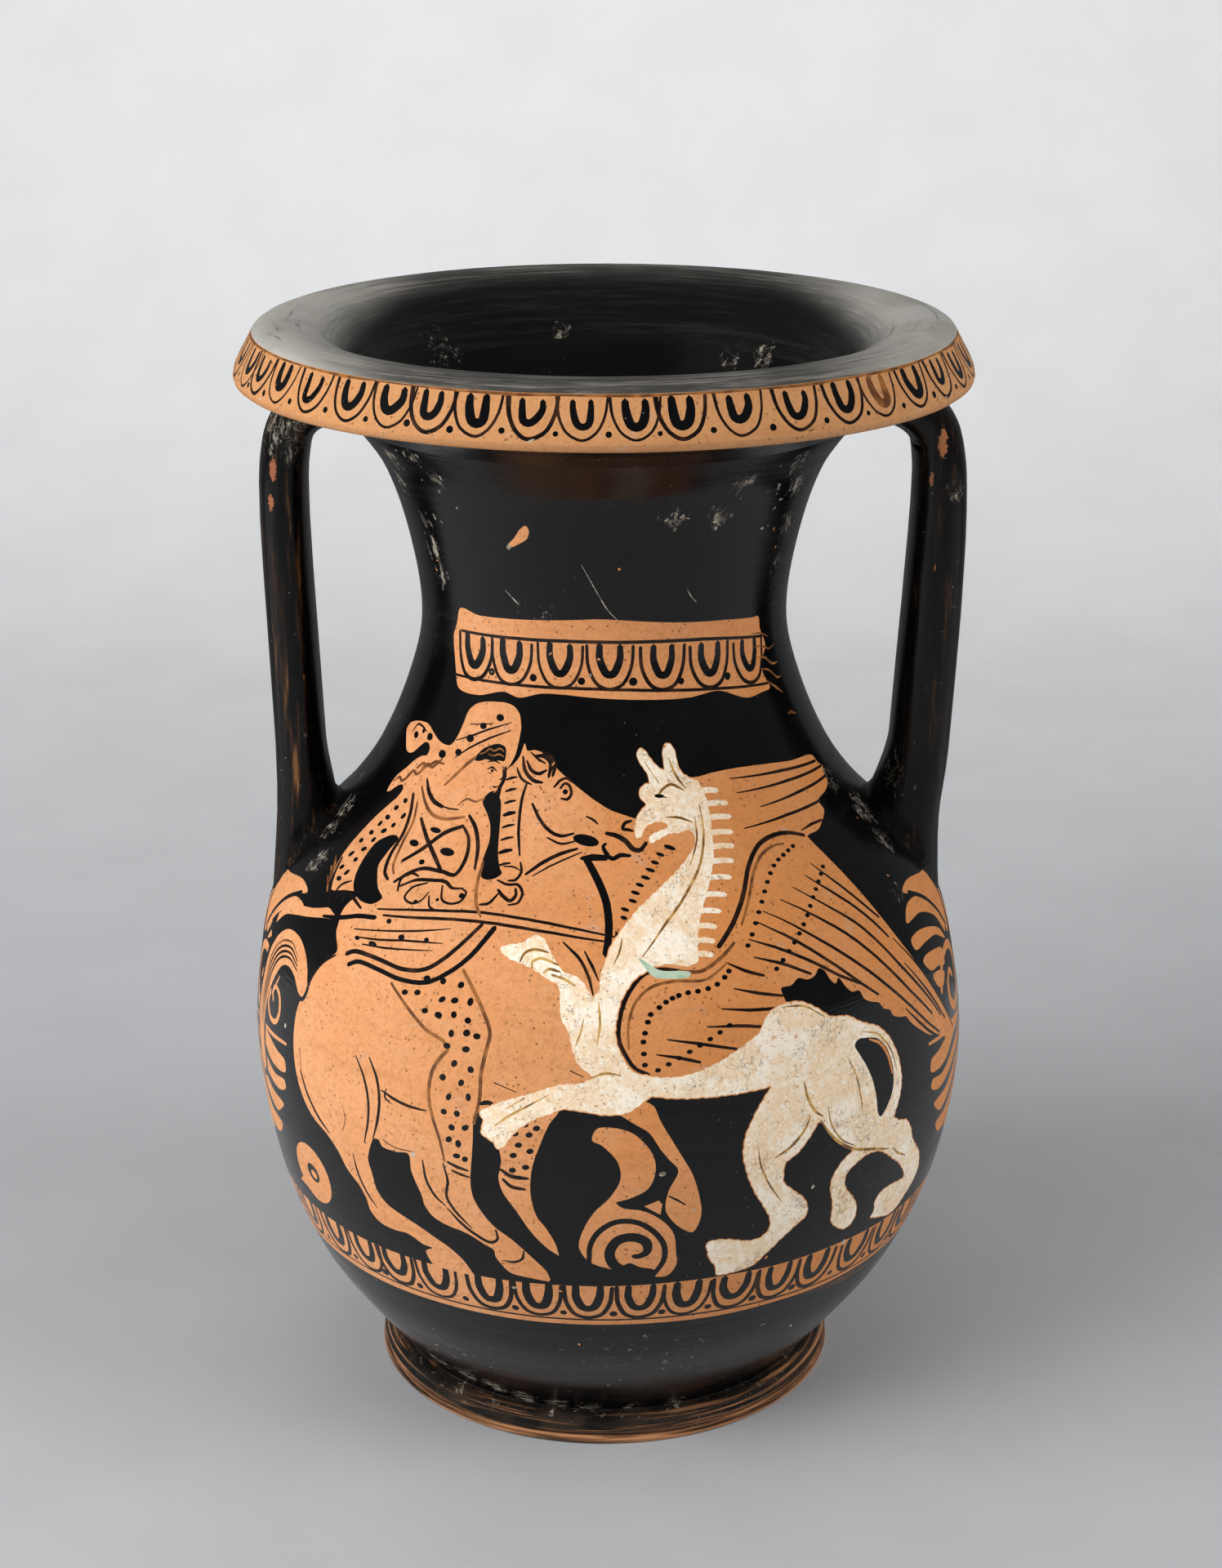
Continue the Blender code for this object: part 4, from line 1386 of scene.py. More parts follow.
def paint_feathers(zone):
    """Quills, rows of dots and the curved borders of the wings."""
    for start, end in (
        ([66, 214.1], [134, 209.6]),
        ([68, 210], [138, 207.4]),
        ([79, 205], [136.4, 204.6]),
        ([66, 200.8], [119, 200.6]),
        ([96, 196.3], [112, 196.4]),
    ):
        middle = (0.5 * (start[0] + end[0]), 0.5 * (start[1] + end[1]) + 0.3)
        zone.stroke(GLOSS, [start, middle, end], 0.8, ends=(0.4, 0.9))
    for line in (
        [(50, 171.6), (60, 168.4), (69, 164.2)],
        [(50, 176), (60, 172.4), (71, 167), (80, 161.4), (88, 157.2)],
        [(55, 179.6), (66, 174), (78, 165.6), (88, 157.4), (95, 152)],
        [
            (59, 181.6), (66, 178.4), (80, 169.6), (92, 160.4), (102, 151.6), (112, 142.6), (121, 134.6),
            (129, 128.6),
        ],
        [
            (68, 183.2), (75, 179.8), (88, 171.6), (96, 164.6), (104, 156.4), (112, 148), (119, 141.6),
            (125, 136),
        ],
        [
            (76, 185), (84, 180.2), (95, 172.6), (102, 165.4), (109, 157), (117, 148.6), (125, 140.6),
            (132, 133),
        ],
        [(84.4, 186.6), (92, 181.2), (98, 176.4), (103.4, 171), (108, 165.4)],
        [(90.6, 188.6), (98, 181.4), (103, 175.8), (107.4, 171.2)],
        [(110, 164.4), (117, 156.6), (126, 146.4), (134, 137), (140, 129.6), (144, 124.4)],
        [(112, 156.4), (119, 149), (127, 140.4), (135.6, 130.6)],
        [(108, 143.6), (115, 137), (121, 132), (127.4, 127.8)],
        [(40, 171.4), (46, 168.6), (52, 166.6)],
        [(41, 164.6), (48, 162.6), (57, 160.4)],
        [(36, 159.8), (46, 158.2), (55, 157.4)],
        [(31, 155.4), (42, 154.4), (50, 152.8)],
        [(18.4, 152.9), (28, 151), (40, 148)],
        [(15, 148.8), (22, 147.4), (28, 145.6)],
    ):
        zone.stroke(GLOSS, line, 0.85, ends=(0.4, 0.8))
    zone.stroke(GLOSS, [
        (38.6, 175.4), (46, 180.2), (54, 186), (61, 191.8), (69, 195.9), (78, 197.4), (88, 196.9),
        (96, 195),
    ], 1.2, ends=(1.0, 0.8))
    zone.stroke(DILUTE, [(49, 179.6), (56, 185.4), (63, 190.8), (70, 194), (78, 195.1), (82.6, 194.8)], 1.0)
    zone.stroke(GLOSS, [
        (12.4, 143.2), (8.4, 145.2), (5.8, 149), (3.9, 153.4), (4.4, 159.4), (7.2, 165.6), (12.4, 170.3),
        (18, 171.4), (26, 170.4),
    ], 1.1, ends=(0.8, 0.6))
    zone.stroke(DILUTE, [(24, 170.6), (31, 170), (38, 172.4), (44.4, 175.8)], 1.1, ends=(0.8, 0.8))
    zone.stroke(DILUTE, [
        (6.8, 150.6), (6.9, 157.4), (9.4, 163.4), (14.4, 167), (22, 168.2), (32, 167.8), (40.4, 171.3),
    ], 0.9)
    for x, z in (
        (11.4, 146), (11.2, 149.2), (11.2, 152.6), (11.8, 155), (12.8, 158), (13.8, 160), (16.6, 161.7),
        (18.8, 163), (20.9, 163.9), (23, 164.5), (26, 165), (29.2, 165.1), (32.6, 165.5), (35.8, 166.3),
        (38.6, 167.8), (40.4, 169.2),
    ):
        zone.dot(GLOSS, x, z, 0.75, length=0.9)
    dotted_rows = (
        [(15.2, 144.3), (22, 147.6), (30, 151.2), (40, 156)],
        [(49, 174.6), (58, 182.2), (72, 190.4), (88, 193.8)],
        [(57, 167.6), (68, 173.8), (82, 181.6), (95.6, 187)],
    )
    for row in dotted_rows:
        line = smooth_run(row)
        steps = np.linalg.norm(np.diff(line, axis=0), axis=1)
        travelled = np.concatenate([[0.0], np.cumsum(steps)])
        for mark in np.arange(0.0, travelled[-1], 3.6):
            x = np.interp(mark, travelled, line[:, 0])
            z = np.interp(mark, travelled, line[:, 1])
            zone.dot(GLOSS, x, z, 0.7, length=0.9)


def paint_griffin(zone):
    """The white griffin, rearing at the horse, with a crested neck and an open beak."""
    head = [
        (35.6, 196.2), (39.2, 198.4), (41, 200.8), (39.4, 202.6), (34, 202.3), (29, 202.3), (24.4, 201.2),
        (20, 200.5), (20.2, 202), (24.6, 203.2), (29.4, 204.2), (27.6, 205.4), (22, 205.3), (18.6, 204.2),
        (16.6, 202), (14.2, 202), (14.2, 205.4), (16.8, 208.2), (20.4, 210.5), (18.2, 211.6), (17.1, 213.6),
        (20, 215.4), (22.7, 215.7), (21.8, 218.7), (19.4, 220.7), (17.2, 223.4), (18.4, 225), (21.4, 224.7),
        (24.4, 222.1), (28, 219.8), (31, 218.9), (31, 223.4), (32.4, 225.6), (35, 226), (37.5, 224.2),
        (38.6, 219.8), (40.2, 217.6), (44.4, 216), (48, 215),
    ]
    crest = [
        (48, 215), (50, 212), (50.8, 208.4), (50.4, 204.8), (49.4, 201), (48.2, 197.6), (46, 194.2),
        (43, 190.6), (39, 187), (35.6, 183.6), (33.2, 180.4), (31.8, 177.2), (31, 174),
    ]
    chest = [
        (31, 172.4), (27, 171.6), (20, 172.6), (15, 171.6), (10, 169.6), (6.6, 166.4), (4.4, 162.6),
        (3.1, 157.6), (3, 153.2), (4.6, 149), (6.6, 145.4), (9, 143.4),
    ]
    back = [
        (9, 143.4), (17.3, 142), (24, 142.3), (30, 143.8), (36, 146), (43, 149.4), (47.6, 152), (51, 156.4),
        (57, 158.2), (63.6, 157.4), (68.4, 154.7), (73.2, 151),
    ]
    tail_out = [
        (73.2, 151), (80, 149.6), (86, 146), (92, 143.3), (97.3, 138.3), (100.4, 132), (101.5, 125.6),
        (101, 121), (98.8, 116), (97, 112.6),
    ]
    right_leg = [
        (97, 112.6), (100, 110.6), (104.5, 108.9), (107.5, 105.4), (109.5, 101), (112.4, 97.4),
        (116.4, 93.3), (119, 88.4), (119.5, 84.7), (117.4, 81.4), (113.6, 78.7), (110, 76), (105, 75.3),
        (99, 77), (93, 79.3), (94.4, 80.6), (93.5, 84.8), (95.4, 87), (99.4, 87.8), (104.5, 87.3),
        (109, 87.3), (104.7, 93.4), (99, 98), (94, 102), (90.6, 103.8), (86, 104.5), (81, 103.2),
        (77.4, 101), (76.4, 98.4), (77.6, 95), (81, 91.2), (83.5, 87.5), (84.4, 83), (83, 80.5),
        (80.2, 79.8), (76.4, 82), (73.6, 84.8), (73.2, 89), (72.4, 93.4), (71, 97.5), (71.6, 101.4),
        (74.5, 105.2), (79, 107.8),
    ]
    left_leg = [
        (79, 107.8), (76.8, 109.6), (72.3, 113.4), (68.6, 117.6), (65.8, 121.3), (63.2, 118.8),
        (58.2, 113.5), (53.6, 110.7), (53, 107), (53.4, 104.2), (56.5, 101), (60.5, 97.4), (62.6, 94),
        (62.6, 90.4), (58.6, 87.5), (54.5, 84.2), (50.4, 80.5), (46, 76.6), (40, 75.4), (34, 75.4),
        (33.4, 78.4), (31, 82), (30, 85.4), (29.6, 87.6), (33.6, 88.4), (38.4, 87.4), (43.6, 86),
        (47.4, 86.6), (50, 89.2), (49.5, 93.4), (46.4, 98.9), (43.5, 104), (41, 110.7), (39.9, 117),
        (41, 122.6), (43.4, 127), (46.4, 131.4), (50, 135.4),
    ]
    belly = [
        (50, 135.4), (40, 135.1), (30, 135.2), (20, 135.8), (12.6, 136.6), (10.4, 135), (6.4, 132.4),
        (0, 131.6), (-7.3, 132.7), (-13.2, 133), (-17, 131.2), (-21, 129.6), (-27.3, 124.8), (-30.4, 120.2),
        (-32.4, 119.3), (-33.4, 121), (-37.2, 123.6), (-36.6, 127.4), (-37.8, 129.8), (-35, 131.6),
        (-31, 133.8), (-26, 135.6), (-20, 137.9), (-13.6, 140.2), (-8.2, 140.7), (-3.6, 142.4),
    ]
    forepaw = [
        (-3.6, 142.4), (-8.4, 146.6), (-10, 150.3), (-11, 154.8), (-13.6, 159.4), (-14, 164.6),
        (-14.6, 167.4), (-18, 168.8), (-21, 170.2), (-26, 172), (-31, 173), (-35.4, 175.2), (-32.8, 176.4),
        (-27.7, 177.3), (-24, 179.3), (-20.5, 178.4), (-17.6, 175.2), (-13.6, 171.2), (-10, 170.2),
        (-7.2, 168.8), (-3.8, 164.5),
    ]
    throat = [
        (-3.8, 164.5), (-1.8, 166.8), (-1.3, 170.6), (0.6, 174.4), (2.2, 177.4), (4.8, 180), (8.6, 183),
        (13, 185.8), (18, 188.2), (24, 190.8), (30, 193.4), (35.6, 196.2),
    ]
    for (x, z), reach in zip(crest[1:], (7.0, 9.8, 9.8, 9.4, 9.0, 8.8, 8.2, 7.6, 6.8, 6.0, 5.4, 4.8)):
        zone.stroke(WHITE, [
            (x - 2.0, z + 0.4), (x + 0.5 * reach, z + 0.2), (x + reach, z - 0.3),
        ], 1.7, ends=(1.0, 0.9))
    zone.fill(WHITE, head, crest, chest, back, tail_out, right_leg, left_leg, belly, forepaw, throat)
    tail_in = [
        (90.6, 115.2), (94.6, 118.5), (96.9, 122.4), (97.6, 127), (97.2, 131), (95.4, 135.7), (91.6, 139.6),
        (87, 141.2), (83.2, 141.7), (81.5, 140.4), (83.2, 137), (85.5, 133), (87.7, 127.5), (88.8, 122),
        (89.3, 117),
    ]
    zone.fill(GLOSS, tail_in, closed=True)
    zone.stroke(CLAY, [(88, 140.4), (92.6, 137.8), (95.8, 133), (97, 127)], 1.0, ends=(0.4, 0.6))
    paint_griffin_lines(zone)


def paint_griffin_lines(zone):
    """Golden lines, black dashes and a green stain over and beside the griffin's white."""
    for line, width in (
        ([(61, 134.4), (62, 129), (64.4, 124.6), (67, 122.4)], 0.8),
        ([(66, 121.4), (71, 114.4), (78.5, 108.6), (88, 105.2), (96, 102.4)], 0.9),
        ([(98, 102), (101.6, 98.8), (106.6, 96)], 0.7),
        ([(50, 113.2), (55.6, 115.8), (60.6, 120.4), (62.4, 124)], 0.8),
        ([(40, 213), (33, 215), (27, 212.6), (30.6, 211.6)], 0.7),
        ([(29, 206.6), (35, 206.2), (41.4, 204.6)], 0.7),
        ([(-33, 126.4), (-29, 129.6), (-23, 133.4), (-17, 137)], 0.6),
        ([(-30, 131.6), (-26, 134.2), (-24, 135.6)], 0.5),
        ([(-6.6, 159), (-7.4, 155.4), (-9, 151.6)], 0.5),
        ([(3, 173), (5, 176), (6, 179)], 0.5),
        ([(-4.2, 142.6), (-0.5, 143.8), (4.2, 143.2)], 0.7),
        ([(78, 138), (80.6, 132), (82, 125), (82.6, 118)], 0.5),
        ([(69, 125), (70, 119), (74, 113), (80, 109)], 0.5),
        ([(34, 222), (36.6, 217.4), (41, 213.4)], 0.7),
        ([(21, 221.6), (25, 218), (27.6, 215.6)], 0.6),
        ([(46.4, 209), (45.6, 202), (40.6, 194.6), (31, 187.6), (21, 181.4), (12.4, 174.6)], 0.7),
        ([(43, 206), (41.6, 200.4), (36, 194.4)], 0.5),
        ([(-2.6, 152), (-1.6, 158), (-2, 163.6)], 0.6),
        ([(56, 157.4), (64, 156.2), (71, 151.6)], 0.5),
        ([(85, 143.6), (92, 140.8), (97.4, 134.4), (99.4, 127)], 0.5),
        ([(44.6, 118), (45.4, 112), (48.6, 104.6), (53, 98)], 0.5),
    ):
        zone.stroke(OCHRE, line, GOLDEN_SPREAD * width, ends=(0.4, 0.4))
    zone.dot(GLOSS, 27, 212.2, 0.6, length=1.5, turn=-8.0)
    for line in (
        [(-27.8, 172.6), (-26.7, 174.7), (-23.5, 175.9), (-18.6, 175.4)],
        [(-23.5, 171.3), (-23.7, 172.8), (-21.1, 173.9), (-18, 173.4), (-15, 172.5)],
        [(-19.7, 170.4), (-18.1, 171.4), (-14.3, 170.9)],
        [(-17, 170.1), (-12.7, 169.1), (-9.4, 167.6)],
    ):
        zone.stroke(OCHRE, line, 0.85, ends=(0.6, 0.5))
    for x, z, length in (
        (7, 183.6, 1.1), (7.6, 185.4, 1.3), (10.7, 187.2, 1.3), (12, 189, 1.4), (14, 190.7, 1.3),
        (16.6, 192.3, 1.4), (18.9, 194, 1.5), (21.2, 195.7, 1.3), (24, 197.5, 1.3),
    ):
        zone.dot(GLOSS, x, z, 0.62, length=length, turn=-22.0)
    zone.dot(GLOSS, 28.6, 199, 0.7, length=1.9, turn=-25.0)
    stain = [
        (11, 174.4), (13.4, 173.4), (16, 171.8), (19, 170.9), (24, 170.7), (27.6, 170), (27, 169),
        (20, 168.9), (15.6, 169.6), (13, 171.8),
    ]
    zone.fill(GREEN, stain, closed=True)


def paint_palmette(zone, centre, flip):
    """A fan of petals round a scroll; flip turns it to face the other way."""

    def at(points):
        return [(centre + flip * x, z) for x, z in points]

    petals = [
        ((0, 150), (-8, 158), (-18, 168), (-31, 172.6), (-24, 174), (-10, 172), (4, 168)),
        ((-6, 152), (-14, 160), (-26, 165), (-38.5, 165.6), (-34, 169), (-26, 169.6), (-14, 166), (-4, 158)),
        (
            (-9, 151), (-20, 156), (-30, 157.2), (-39, 157.6), (-40, 160.6), (-36, 161.6), (-26, 160.4),
            (-14, 156),
        ),
        ((-16, 145.4), (-24, 147.4), (-31, 148.4), (-35.6, 152.8), (-34, 153.8), (-26, 153.2), (-16, 150)),
        ((-22, 140), (-27, 142), (-30, 146.4), (-24, 146), (-18, 143)),
        (
            (-5, 124), (-16, 122), (-26, 118), (-34, 117.4), (-40, 119), (-39.4, 122.4), (-33, 123.2),
            (-20, 125.4),
        ),
        (
            (0, 121), (-12, 116), (-24, 111.4), (-33, 110.4), (-39.6, 113.4), (-38.8, 115.6), (-30, 114.6),
            (-14, 119),
        ),
        ((4, 118), (-8, 111), (-20, 103.2), (-28, 101), (-33.6, 104), (-36, 106.4), (-24, 107.6), (-6, 115)),
        ((8, 115), (-4, 106), (-12, 96), (-20, 91.6), (-27, 93), (-31, 97.6), (-20, 99), (-6, 108)),
        ((12, 112), (6, 100), (0, 92), (-8, 87.6), (-14, 88.4), (-16, 91.6), (-6, 97), (4, 108)),
    ]
    for petal in petals:
        zone.fill(CLAY, at(petal), closed=True)
    for gap in (
        [(-2, 153), (-9, 160.6), (-17, 166.8), (-27, 171.4)],
        [(3.2, 171), (4.8, 158), (5.8, 147)],
    ):
        zone.stroke(GLOSS, at(gap), 1.5, ends=(1.0, 1.0))
    scroll = [
        (-24, 139), (-21, 145), (-14, 148.6), (-6, 148), (0, 143), (1, 136), (-3, 130), (-10, 129),
        (-15, 133), (-15, 138.6), (-10.6, 141), (-7, 138),
    ]
    zone.stroke(CLAY, at(scroll), 3.0, ends=(0.7, 0.6))
    zone.stroke(CLAY, at([(-40, 128), (-28, 126.6), (-14, 126), (0, 124)]), 1.4)
    stalk = [(6, 168), (9, 150), (10, 132), (12, 112)]
    zone.stroke(CLAY, at(stalk), 3.4, ends=(0.6, 0.6))


def paint_front(zone):
    """The rider and the griffin, from the ground band up."""
    paint_disc(zone)
    paint_palmette(zone, 160, 1)
    paint_palmette(zone, -160, -1)
    paint_tendril(zone)
    paint_horse(zone)
    paint_raised_foreleg(zone)
    paint_tail(zone)
    paint_wings(zone)
    paint_horse_head(zone)
    paint_rider(zone)
    paint_void(zone)
    paint_saddle(zone)
    paint_rider_dress(zone)
    paint_rider_face(zone)
    paint_trousers(zone)
    paint_horse_lines(zone)
    paint_griffin(zone)


def paint_back_panel(zone):
    """Reserved panel on the back of the neck, plainer than the front's."""
    upper = [(264, 258), (300, 260), (354, 261), (404, 260), (446, 257.6)]
    lower = [(447, 240), (410, 238.6), (354, 239.4), (300, 238), (262, 239)]
    zone.fill(CLAY, upper, lower)
    zone.stroke(GLOSS, [(265, 253.6), (310, 254.8), (354, 255.2), (400, 254.6), (445, 252.8)], 0.9)
    zone.stroke(GLOSS, [(265, 241.6), (310, 241.4), (354, 242), (400, 241.4), (445, 241.8)], 0.8)
    rng = random.Random(61)
    for k in range(6):
        x = 280.0 + 30.0 * k
        arm = 6.2 + rng.uniform(-0.4, 0.4)
        hook = [
            (x - arm, 254.2), (x - arm, 250), (x - 2.5, 246), (x, 245.4), (x + 2.6, 246), (x + arm, 250.2),
            (x + arm, 254),
        ]
        zone.stroke(GLOSS, hook, rng.uniform(2.2, 2.7), ends=(0.8, 0.75))
        arch = [
            (x - 13.4, 254), (x - 12.6, 248), (x - 8, 243.4), (x, 241.8), (x + 8.2, 243.4), (x + 12.8, 248),
            (x + 13.6, 254),
        ]
        zone.stroke(GLOSS, arch, rng.uniform(0.7, 1.1), ends=(0.9, 0.9))
        zone.dot(GLOSS, x + 15.0, 244.0, rng.uniform(0.9, 1.2))


def paint_mantled_youth(zone, centre, flip):
    """A standing figure wrapped in a mantle, seen from the side and drawn in few lines."""

    def at(points):
        placed = []
        for across, up in points:
            z = MANTLE_FEET + MANTLE_SCALE * up
            placed.append((centre + flip * MANTLE_WIDTH * across * BELLY_RADIUS / float(zone.radius(z)), z))
        return placed

    front_foot = [
        (4, 22), (5, 12), (7, 6), (14, 4.6), (20, 3), (19, 0.4), (8, 0), (0.5, 0.2), (-1, 9), (-1, 22),
    ]
    back_foot = [
        (-14, 22), (-13, 11), (-12, 5.4), (-6, 3.8), (-1, 2.4), (-2, 0.4), (-10, 0), (-18, 0.4), (-18.6, 9),
        (-18, 22),
    ]
    mantle = [
        (-4, 125), (-9, 122), (-14, 115), (-17, 105), (-18.5, 91), (-18, 71), (-17, 51), (-17.5, 33),
        (-19, 18), (-16, 16.6), (-8, 17.6), (2, 16.6), (10, 17.6), (14, 19.4), (13, 33), (12.5, 51),
        (13.5, 69), (15.5, 81), (19, 89), (17, 95), (13, 99), (12.5, 107), (10, 116), (6, 122), (3, 125),
    ]
    head = [
        (-4, 123), (-3.5, 128), (-7, 130), (-10.5, 134), (-11.5, 140), (-9, 146), (-3, 149.4), (4, 148.6),
        (8, 144.6), (8.6, 140.6), (10.8, 136.8), (9.4, 135.4), (9.6, 133.4), (8.8, 131.6), (7.4, 129.6),
        (4.4, 128.8), (3.5, 123),
    ]
    hair = [
        (-13, 133), (-14.4, 140), (-11.4, 148.4), (-3, 152.6), (5, 151.6), (9.4, 146), (4.6, 144),
        (2.4, 141), (0.2, 138), (-2.6, 134.8), (-7.6, 129),
    ]
    contour = [(-6.4, 130.4), (-10.4, 134), (-11.6, 140), (-9, 146), (-3, 149.4), (4, 148.8), (8.4, 144.8)]
    for outline in (front_foot, back_foot, mantle, head):
        zone.fill(CLAY, at(outline), closed=True)
    zone.fill(GLOSS, at(hair), closed=True)
    zone.stroke(CLAY, at(contour), 0.8, ends=(0.6, 0.6))
    zone.stroke(GLOSS, at([(4.6, 139.4), (6.8, 140.2)]), 0.5)
    zone.stroke(GLOSS, at([(4.2, 141.8), (7, 142.6)]), 0.5)
    zone.stroke(GLOSS, at([(7.2, 133.6), (8.8, 133.4)]), 0.5)
    zone.stroke(GLOSS, at([(-19, 21), (-8, 21.6), (4, 20.6), (13.6, 23)]), 1.7, ends=(1.0, 1.0))
    zone.stroke(GLOSS, at([(-6, 123), (1, 117), (8, 108), (12.6, 100)]), 1.5, ends=(0.7, 0.8))
    for fold in (
        [(-15, 109), (-8, 101), (2, 95), (14, 93)],
        [(-17.4, 97), (-9, 87), (1, 81), (14, 79)],
        [(-17.6, 81), (-10, 71), (0, 65), (12, 65)],
        [(-11.6, 61), (-13, 41), (-14, 23)],
        [(-4, 59), (-4.6, 40), (-5, 22)],
        [(5, 61), (5.6, 42), (6, 21)],
        [(-9, 118), (-12, 108), (-13, 96)],
    ):
        zone.stroke(GLOSS, at(fold), 1.1, ends=(0.7, 0.4))


def paint_leaves(zone, x):
    """A column of leaves under a handle."""
    for z in (145.0, 122.0, 99.0):
        leaf = [
            (x, z), (x - 3.6, z - 6), (x - 5, z - 12), (x - 3, z - 17.4), (x, z - 19.4), (x + 3, z - 17.4),
            (x + 5, z - 12), (x + 3.6, z - 6),
        ]
        zone.fill(CLAY, leaf, closed=True)
        zone.stroke(GLOSS, [(x, z - 5), (x, z - 14)], 0.8, ends=(0.5, 0.8))


def paint_back(zone):
    """Two mantled youths who face each other, palmettes beside them, and the neck's panel."""
    paint_leaves(zone, 183)
    paint_leaves(zone, -183)
    paint_palmette(zone, 206, -1)
    paint_palmette(zone, -206, 1)
    paint_mantled_youth(zone, 318, 1)
    paint_mantled_youth(zone, 391, -1)
    zone.dot(CLAY, 354, 168, 6.4, sides=18)
    zone.stroke(GLOSS, [(350, 168), (358, 168)], 0.8)
    zone.stroke(GLOSS, [(354, 164.4), (354, 171.6)], 0.8)
    paint_back_panel(zone)


def paint_crust(zone, rng, x, z, spread_x, spread_z, count):
    """Grains of limy crust in a patch."""
    for _ in range(count):
        height = min(max(z + rng.gauss(0.0, spread_z), zone.low + 2.0), zone.high - 2.0)
        zone.dot(DEPOSIT, x + rng.gauss(0.0, spread_x), height, rng.uniform(0.15, 0.5),
                 length=rng.uniform(0.3, 1.2), turn=rng.uniform(0.0, 180.0), sides=6)


def paint_wear(zone):
    """Chips, scratches, smears and crust of the wall."""
    rng = random.Random(47)
    zone.fill(CLAY, [
        (-52.4, 284.6), (-48, 287), (-43.6, 290.2), (-40, 291.4), (-38.8, 290), (-40.4, 287.4),
        (-45.6, 285.4), (-49.6, 284.2),
    ], closed=True)
    zone.fill(DEPOSIT, [(-53.4, 283.6), (-52, 285), (-50.4, 284.4), (-51.6, 283.2)], closed=True)
    for line, width in (
        ([(-12, 280), (-4, 271.6), (2, 266), (8, 262.6)], 0.3),
        ([(48, 271), (51, 268.6), (55, 266.4)], 0.3),
        ([(-58, 270), (-53, 267.4), (-50, 266)], 0.4),
    ):
        zone.stroke(DEPOSIT, line, width, ends=(0.4, 0.4))
    for line, width in (
        ([(124, 225.4), (129, 225.2), (134, 224)], 1.0),
        ([(104, 248), (112, 247.4), (120, 245.6), (128, 246)], 0.6),
        ([(106, 244.6), (114, 243.6), (121, 241), (129, 240.4)], 0.8),
        ([(108, 241), (116, 239.6), (124, 236.4), (130, 236)], 0.7),
        ([(110, 237.4), (118, 234.6), (126, 231.4)], 0.9),
        ([(100, 252.4), (110, 251.6), (120, 249.4)], 0.5),
        ([(70, 57.2), (88, 56.4), (106, 57)], 0.6),
        ([(78, 55.4), (96, 54.8), (116, 55.2)], 0.5),
    ):
        zone.stroke(DILUTE, line, width, ends=(0.3, 0.3))
    for patch in (
        (36, 294, 2.6, 1.4, 14),
        (60, 291, 1.2, 1.0, 8),
        (96, 296, 6.0, 8.0, 12),
        (-94, 300, 6.0, 7.0, 12),
        (0, 36, 110.0, 10.0, 24),
        (330, 150, 60.0, 50.0, 24),
    ):
        paint_crust(zone, rng, *patch)
    for x, z, size in (
        (-60, 112, 1.0), (64, 100, 0.8), (15.6, 113, 1.1), (-121.6, 133.4, 0.9), (25, 100, 0.6),
        (-70, 244, 0.5), (104, 168, 0.5), (-8, 246, 0.6), (82, 74, 1.2), (-30, 71, 0.8),
    ):
        zone.dot(DEPOSIT, x, z, 0.7 * size, length=size, turn=rng.uniform(0.0, 90.0), sides=7)
    for _ in range(WALL_SPECKS):
        x = rng.uniform(-150.0, 150.0)
        zone.dot(CLAY, x, rng.uniform(20.0, 300.0), rng.uniform(0.2, 0.45), length=rng.uniform(0.3, 0.8),
                 turn=rng.uniform(0.0, 180.0), sides=6)


def jar_shell():
    """The whole wall: under the foot, up the outside, over the lip, down the inside to the floor."""
    shell = Shell()
    wall = Zone(WALL, PAINTED_FROM, PAINTED_TO, GLOSS)
    lip = Zone(LIP_FACE, LIP_FACE[0][0], LIP_FACE[-1][0], CLAY)
    under = [(0.0, UNDERSIDE_MIDDLE)] + FOOT_RINGS + [wall.ring(PAINTED_FROM)]
    kinds = [BARE] * FOOT_BARE_RUNS + [FOOT] * (len(under) - 1 - FOOT_BARE_RUNS)
    reached = add_rings(shell, under, kinds, 0.0)
    paint_ground_band(wall)
    paint_neck_panel(wall)
    paint_front(wall)
    paint_back(wall)
    paint_wear(wall)
    wall.show_rims(WHITE, CLAY, WHITE_RIM)
    length = PAINTED_TO - PAINTED_FROM
    add_zone(shell, wall, reached, reached + length)
    below = [wall.ring(wall.high)] + UNDER_LIP + [lip.ring(lip.low)]
    kinds = [GLOSS] * (len(below) - 1 - LIP_CLAY_RUNS) + [CLAY] * LIP_CLAY_RUNS
    reached = add_rings(shell, below, kinds, reached + length)
    paint_lip(lip)
    length = lip.high - lip.low
    add_zone(shell, lip, reached, reached + length)
    reached = add_rings(shell, *mouth_rings(lip), reached + length)
    return shell


def mouth_rings(lip):
    """Outline of the lip's top, the mouth, the inner wall and the floor, and the kinds of its runs."""
    heights = np.linspace(INSIDE_FROM, INSIDE_TO, INSIDE_RINGS)
    wall = []
    for height in heights:
        radius = smooth_value(WALL, height)
        slope = smooth_value(WALL, height + 0.5) - smooth_value(WALL, height - 0.5)
        wall.append((radius - smooth_value(WALL_THICKNESS, height) * math.hypot(1.0, slope), height))
    outline = [lip.ring(lip.high)] + MOUTH + wall + INSIDE_FLOOR + [(0.0, INSIDE_FLOOR[-1][1])]
    kinds = []
    for start in outline[:-1]:
        if start[1] >= WORN_AND_SHEEN_ABOVE:
            kinds.append(WORN_AND_SHEEN)
        elif start[1] >= GLOSS_INSIDE_ABOVE:
            kinds.append(GLOSS)
        else:
            kinds.append(BARE)
    return outline, kinds


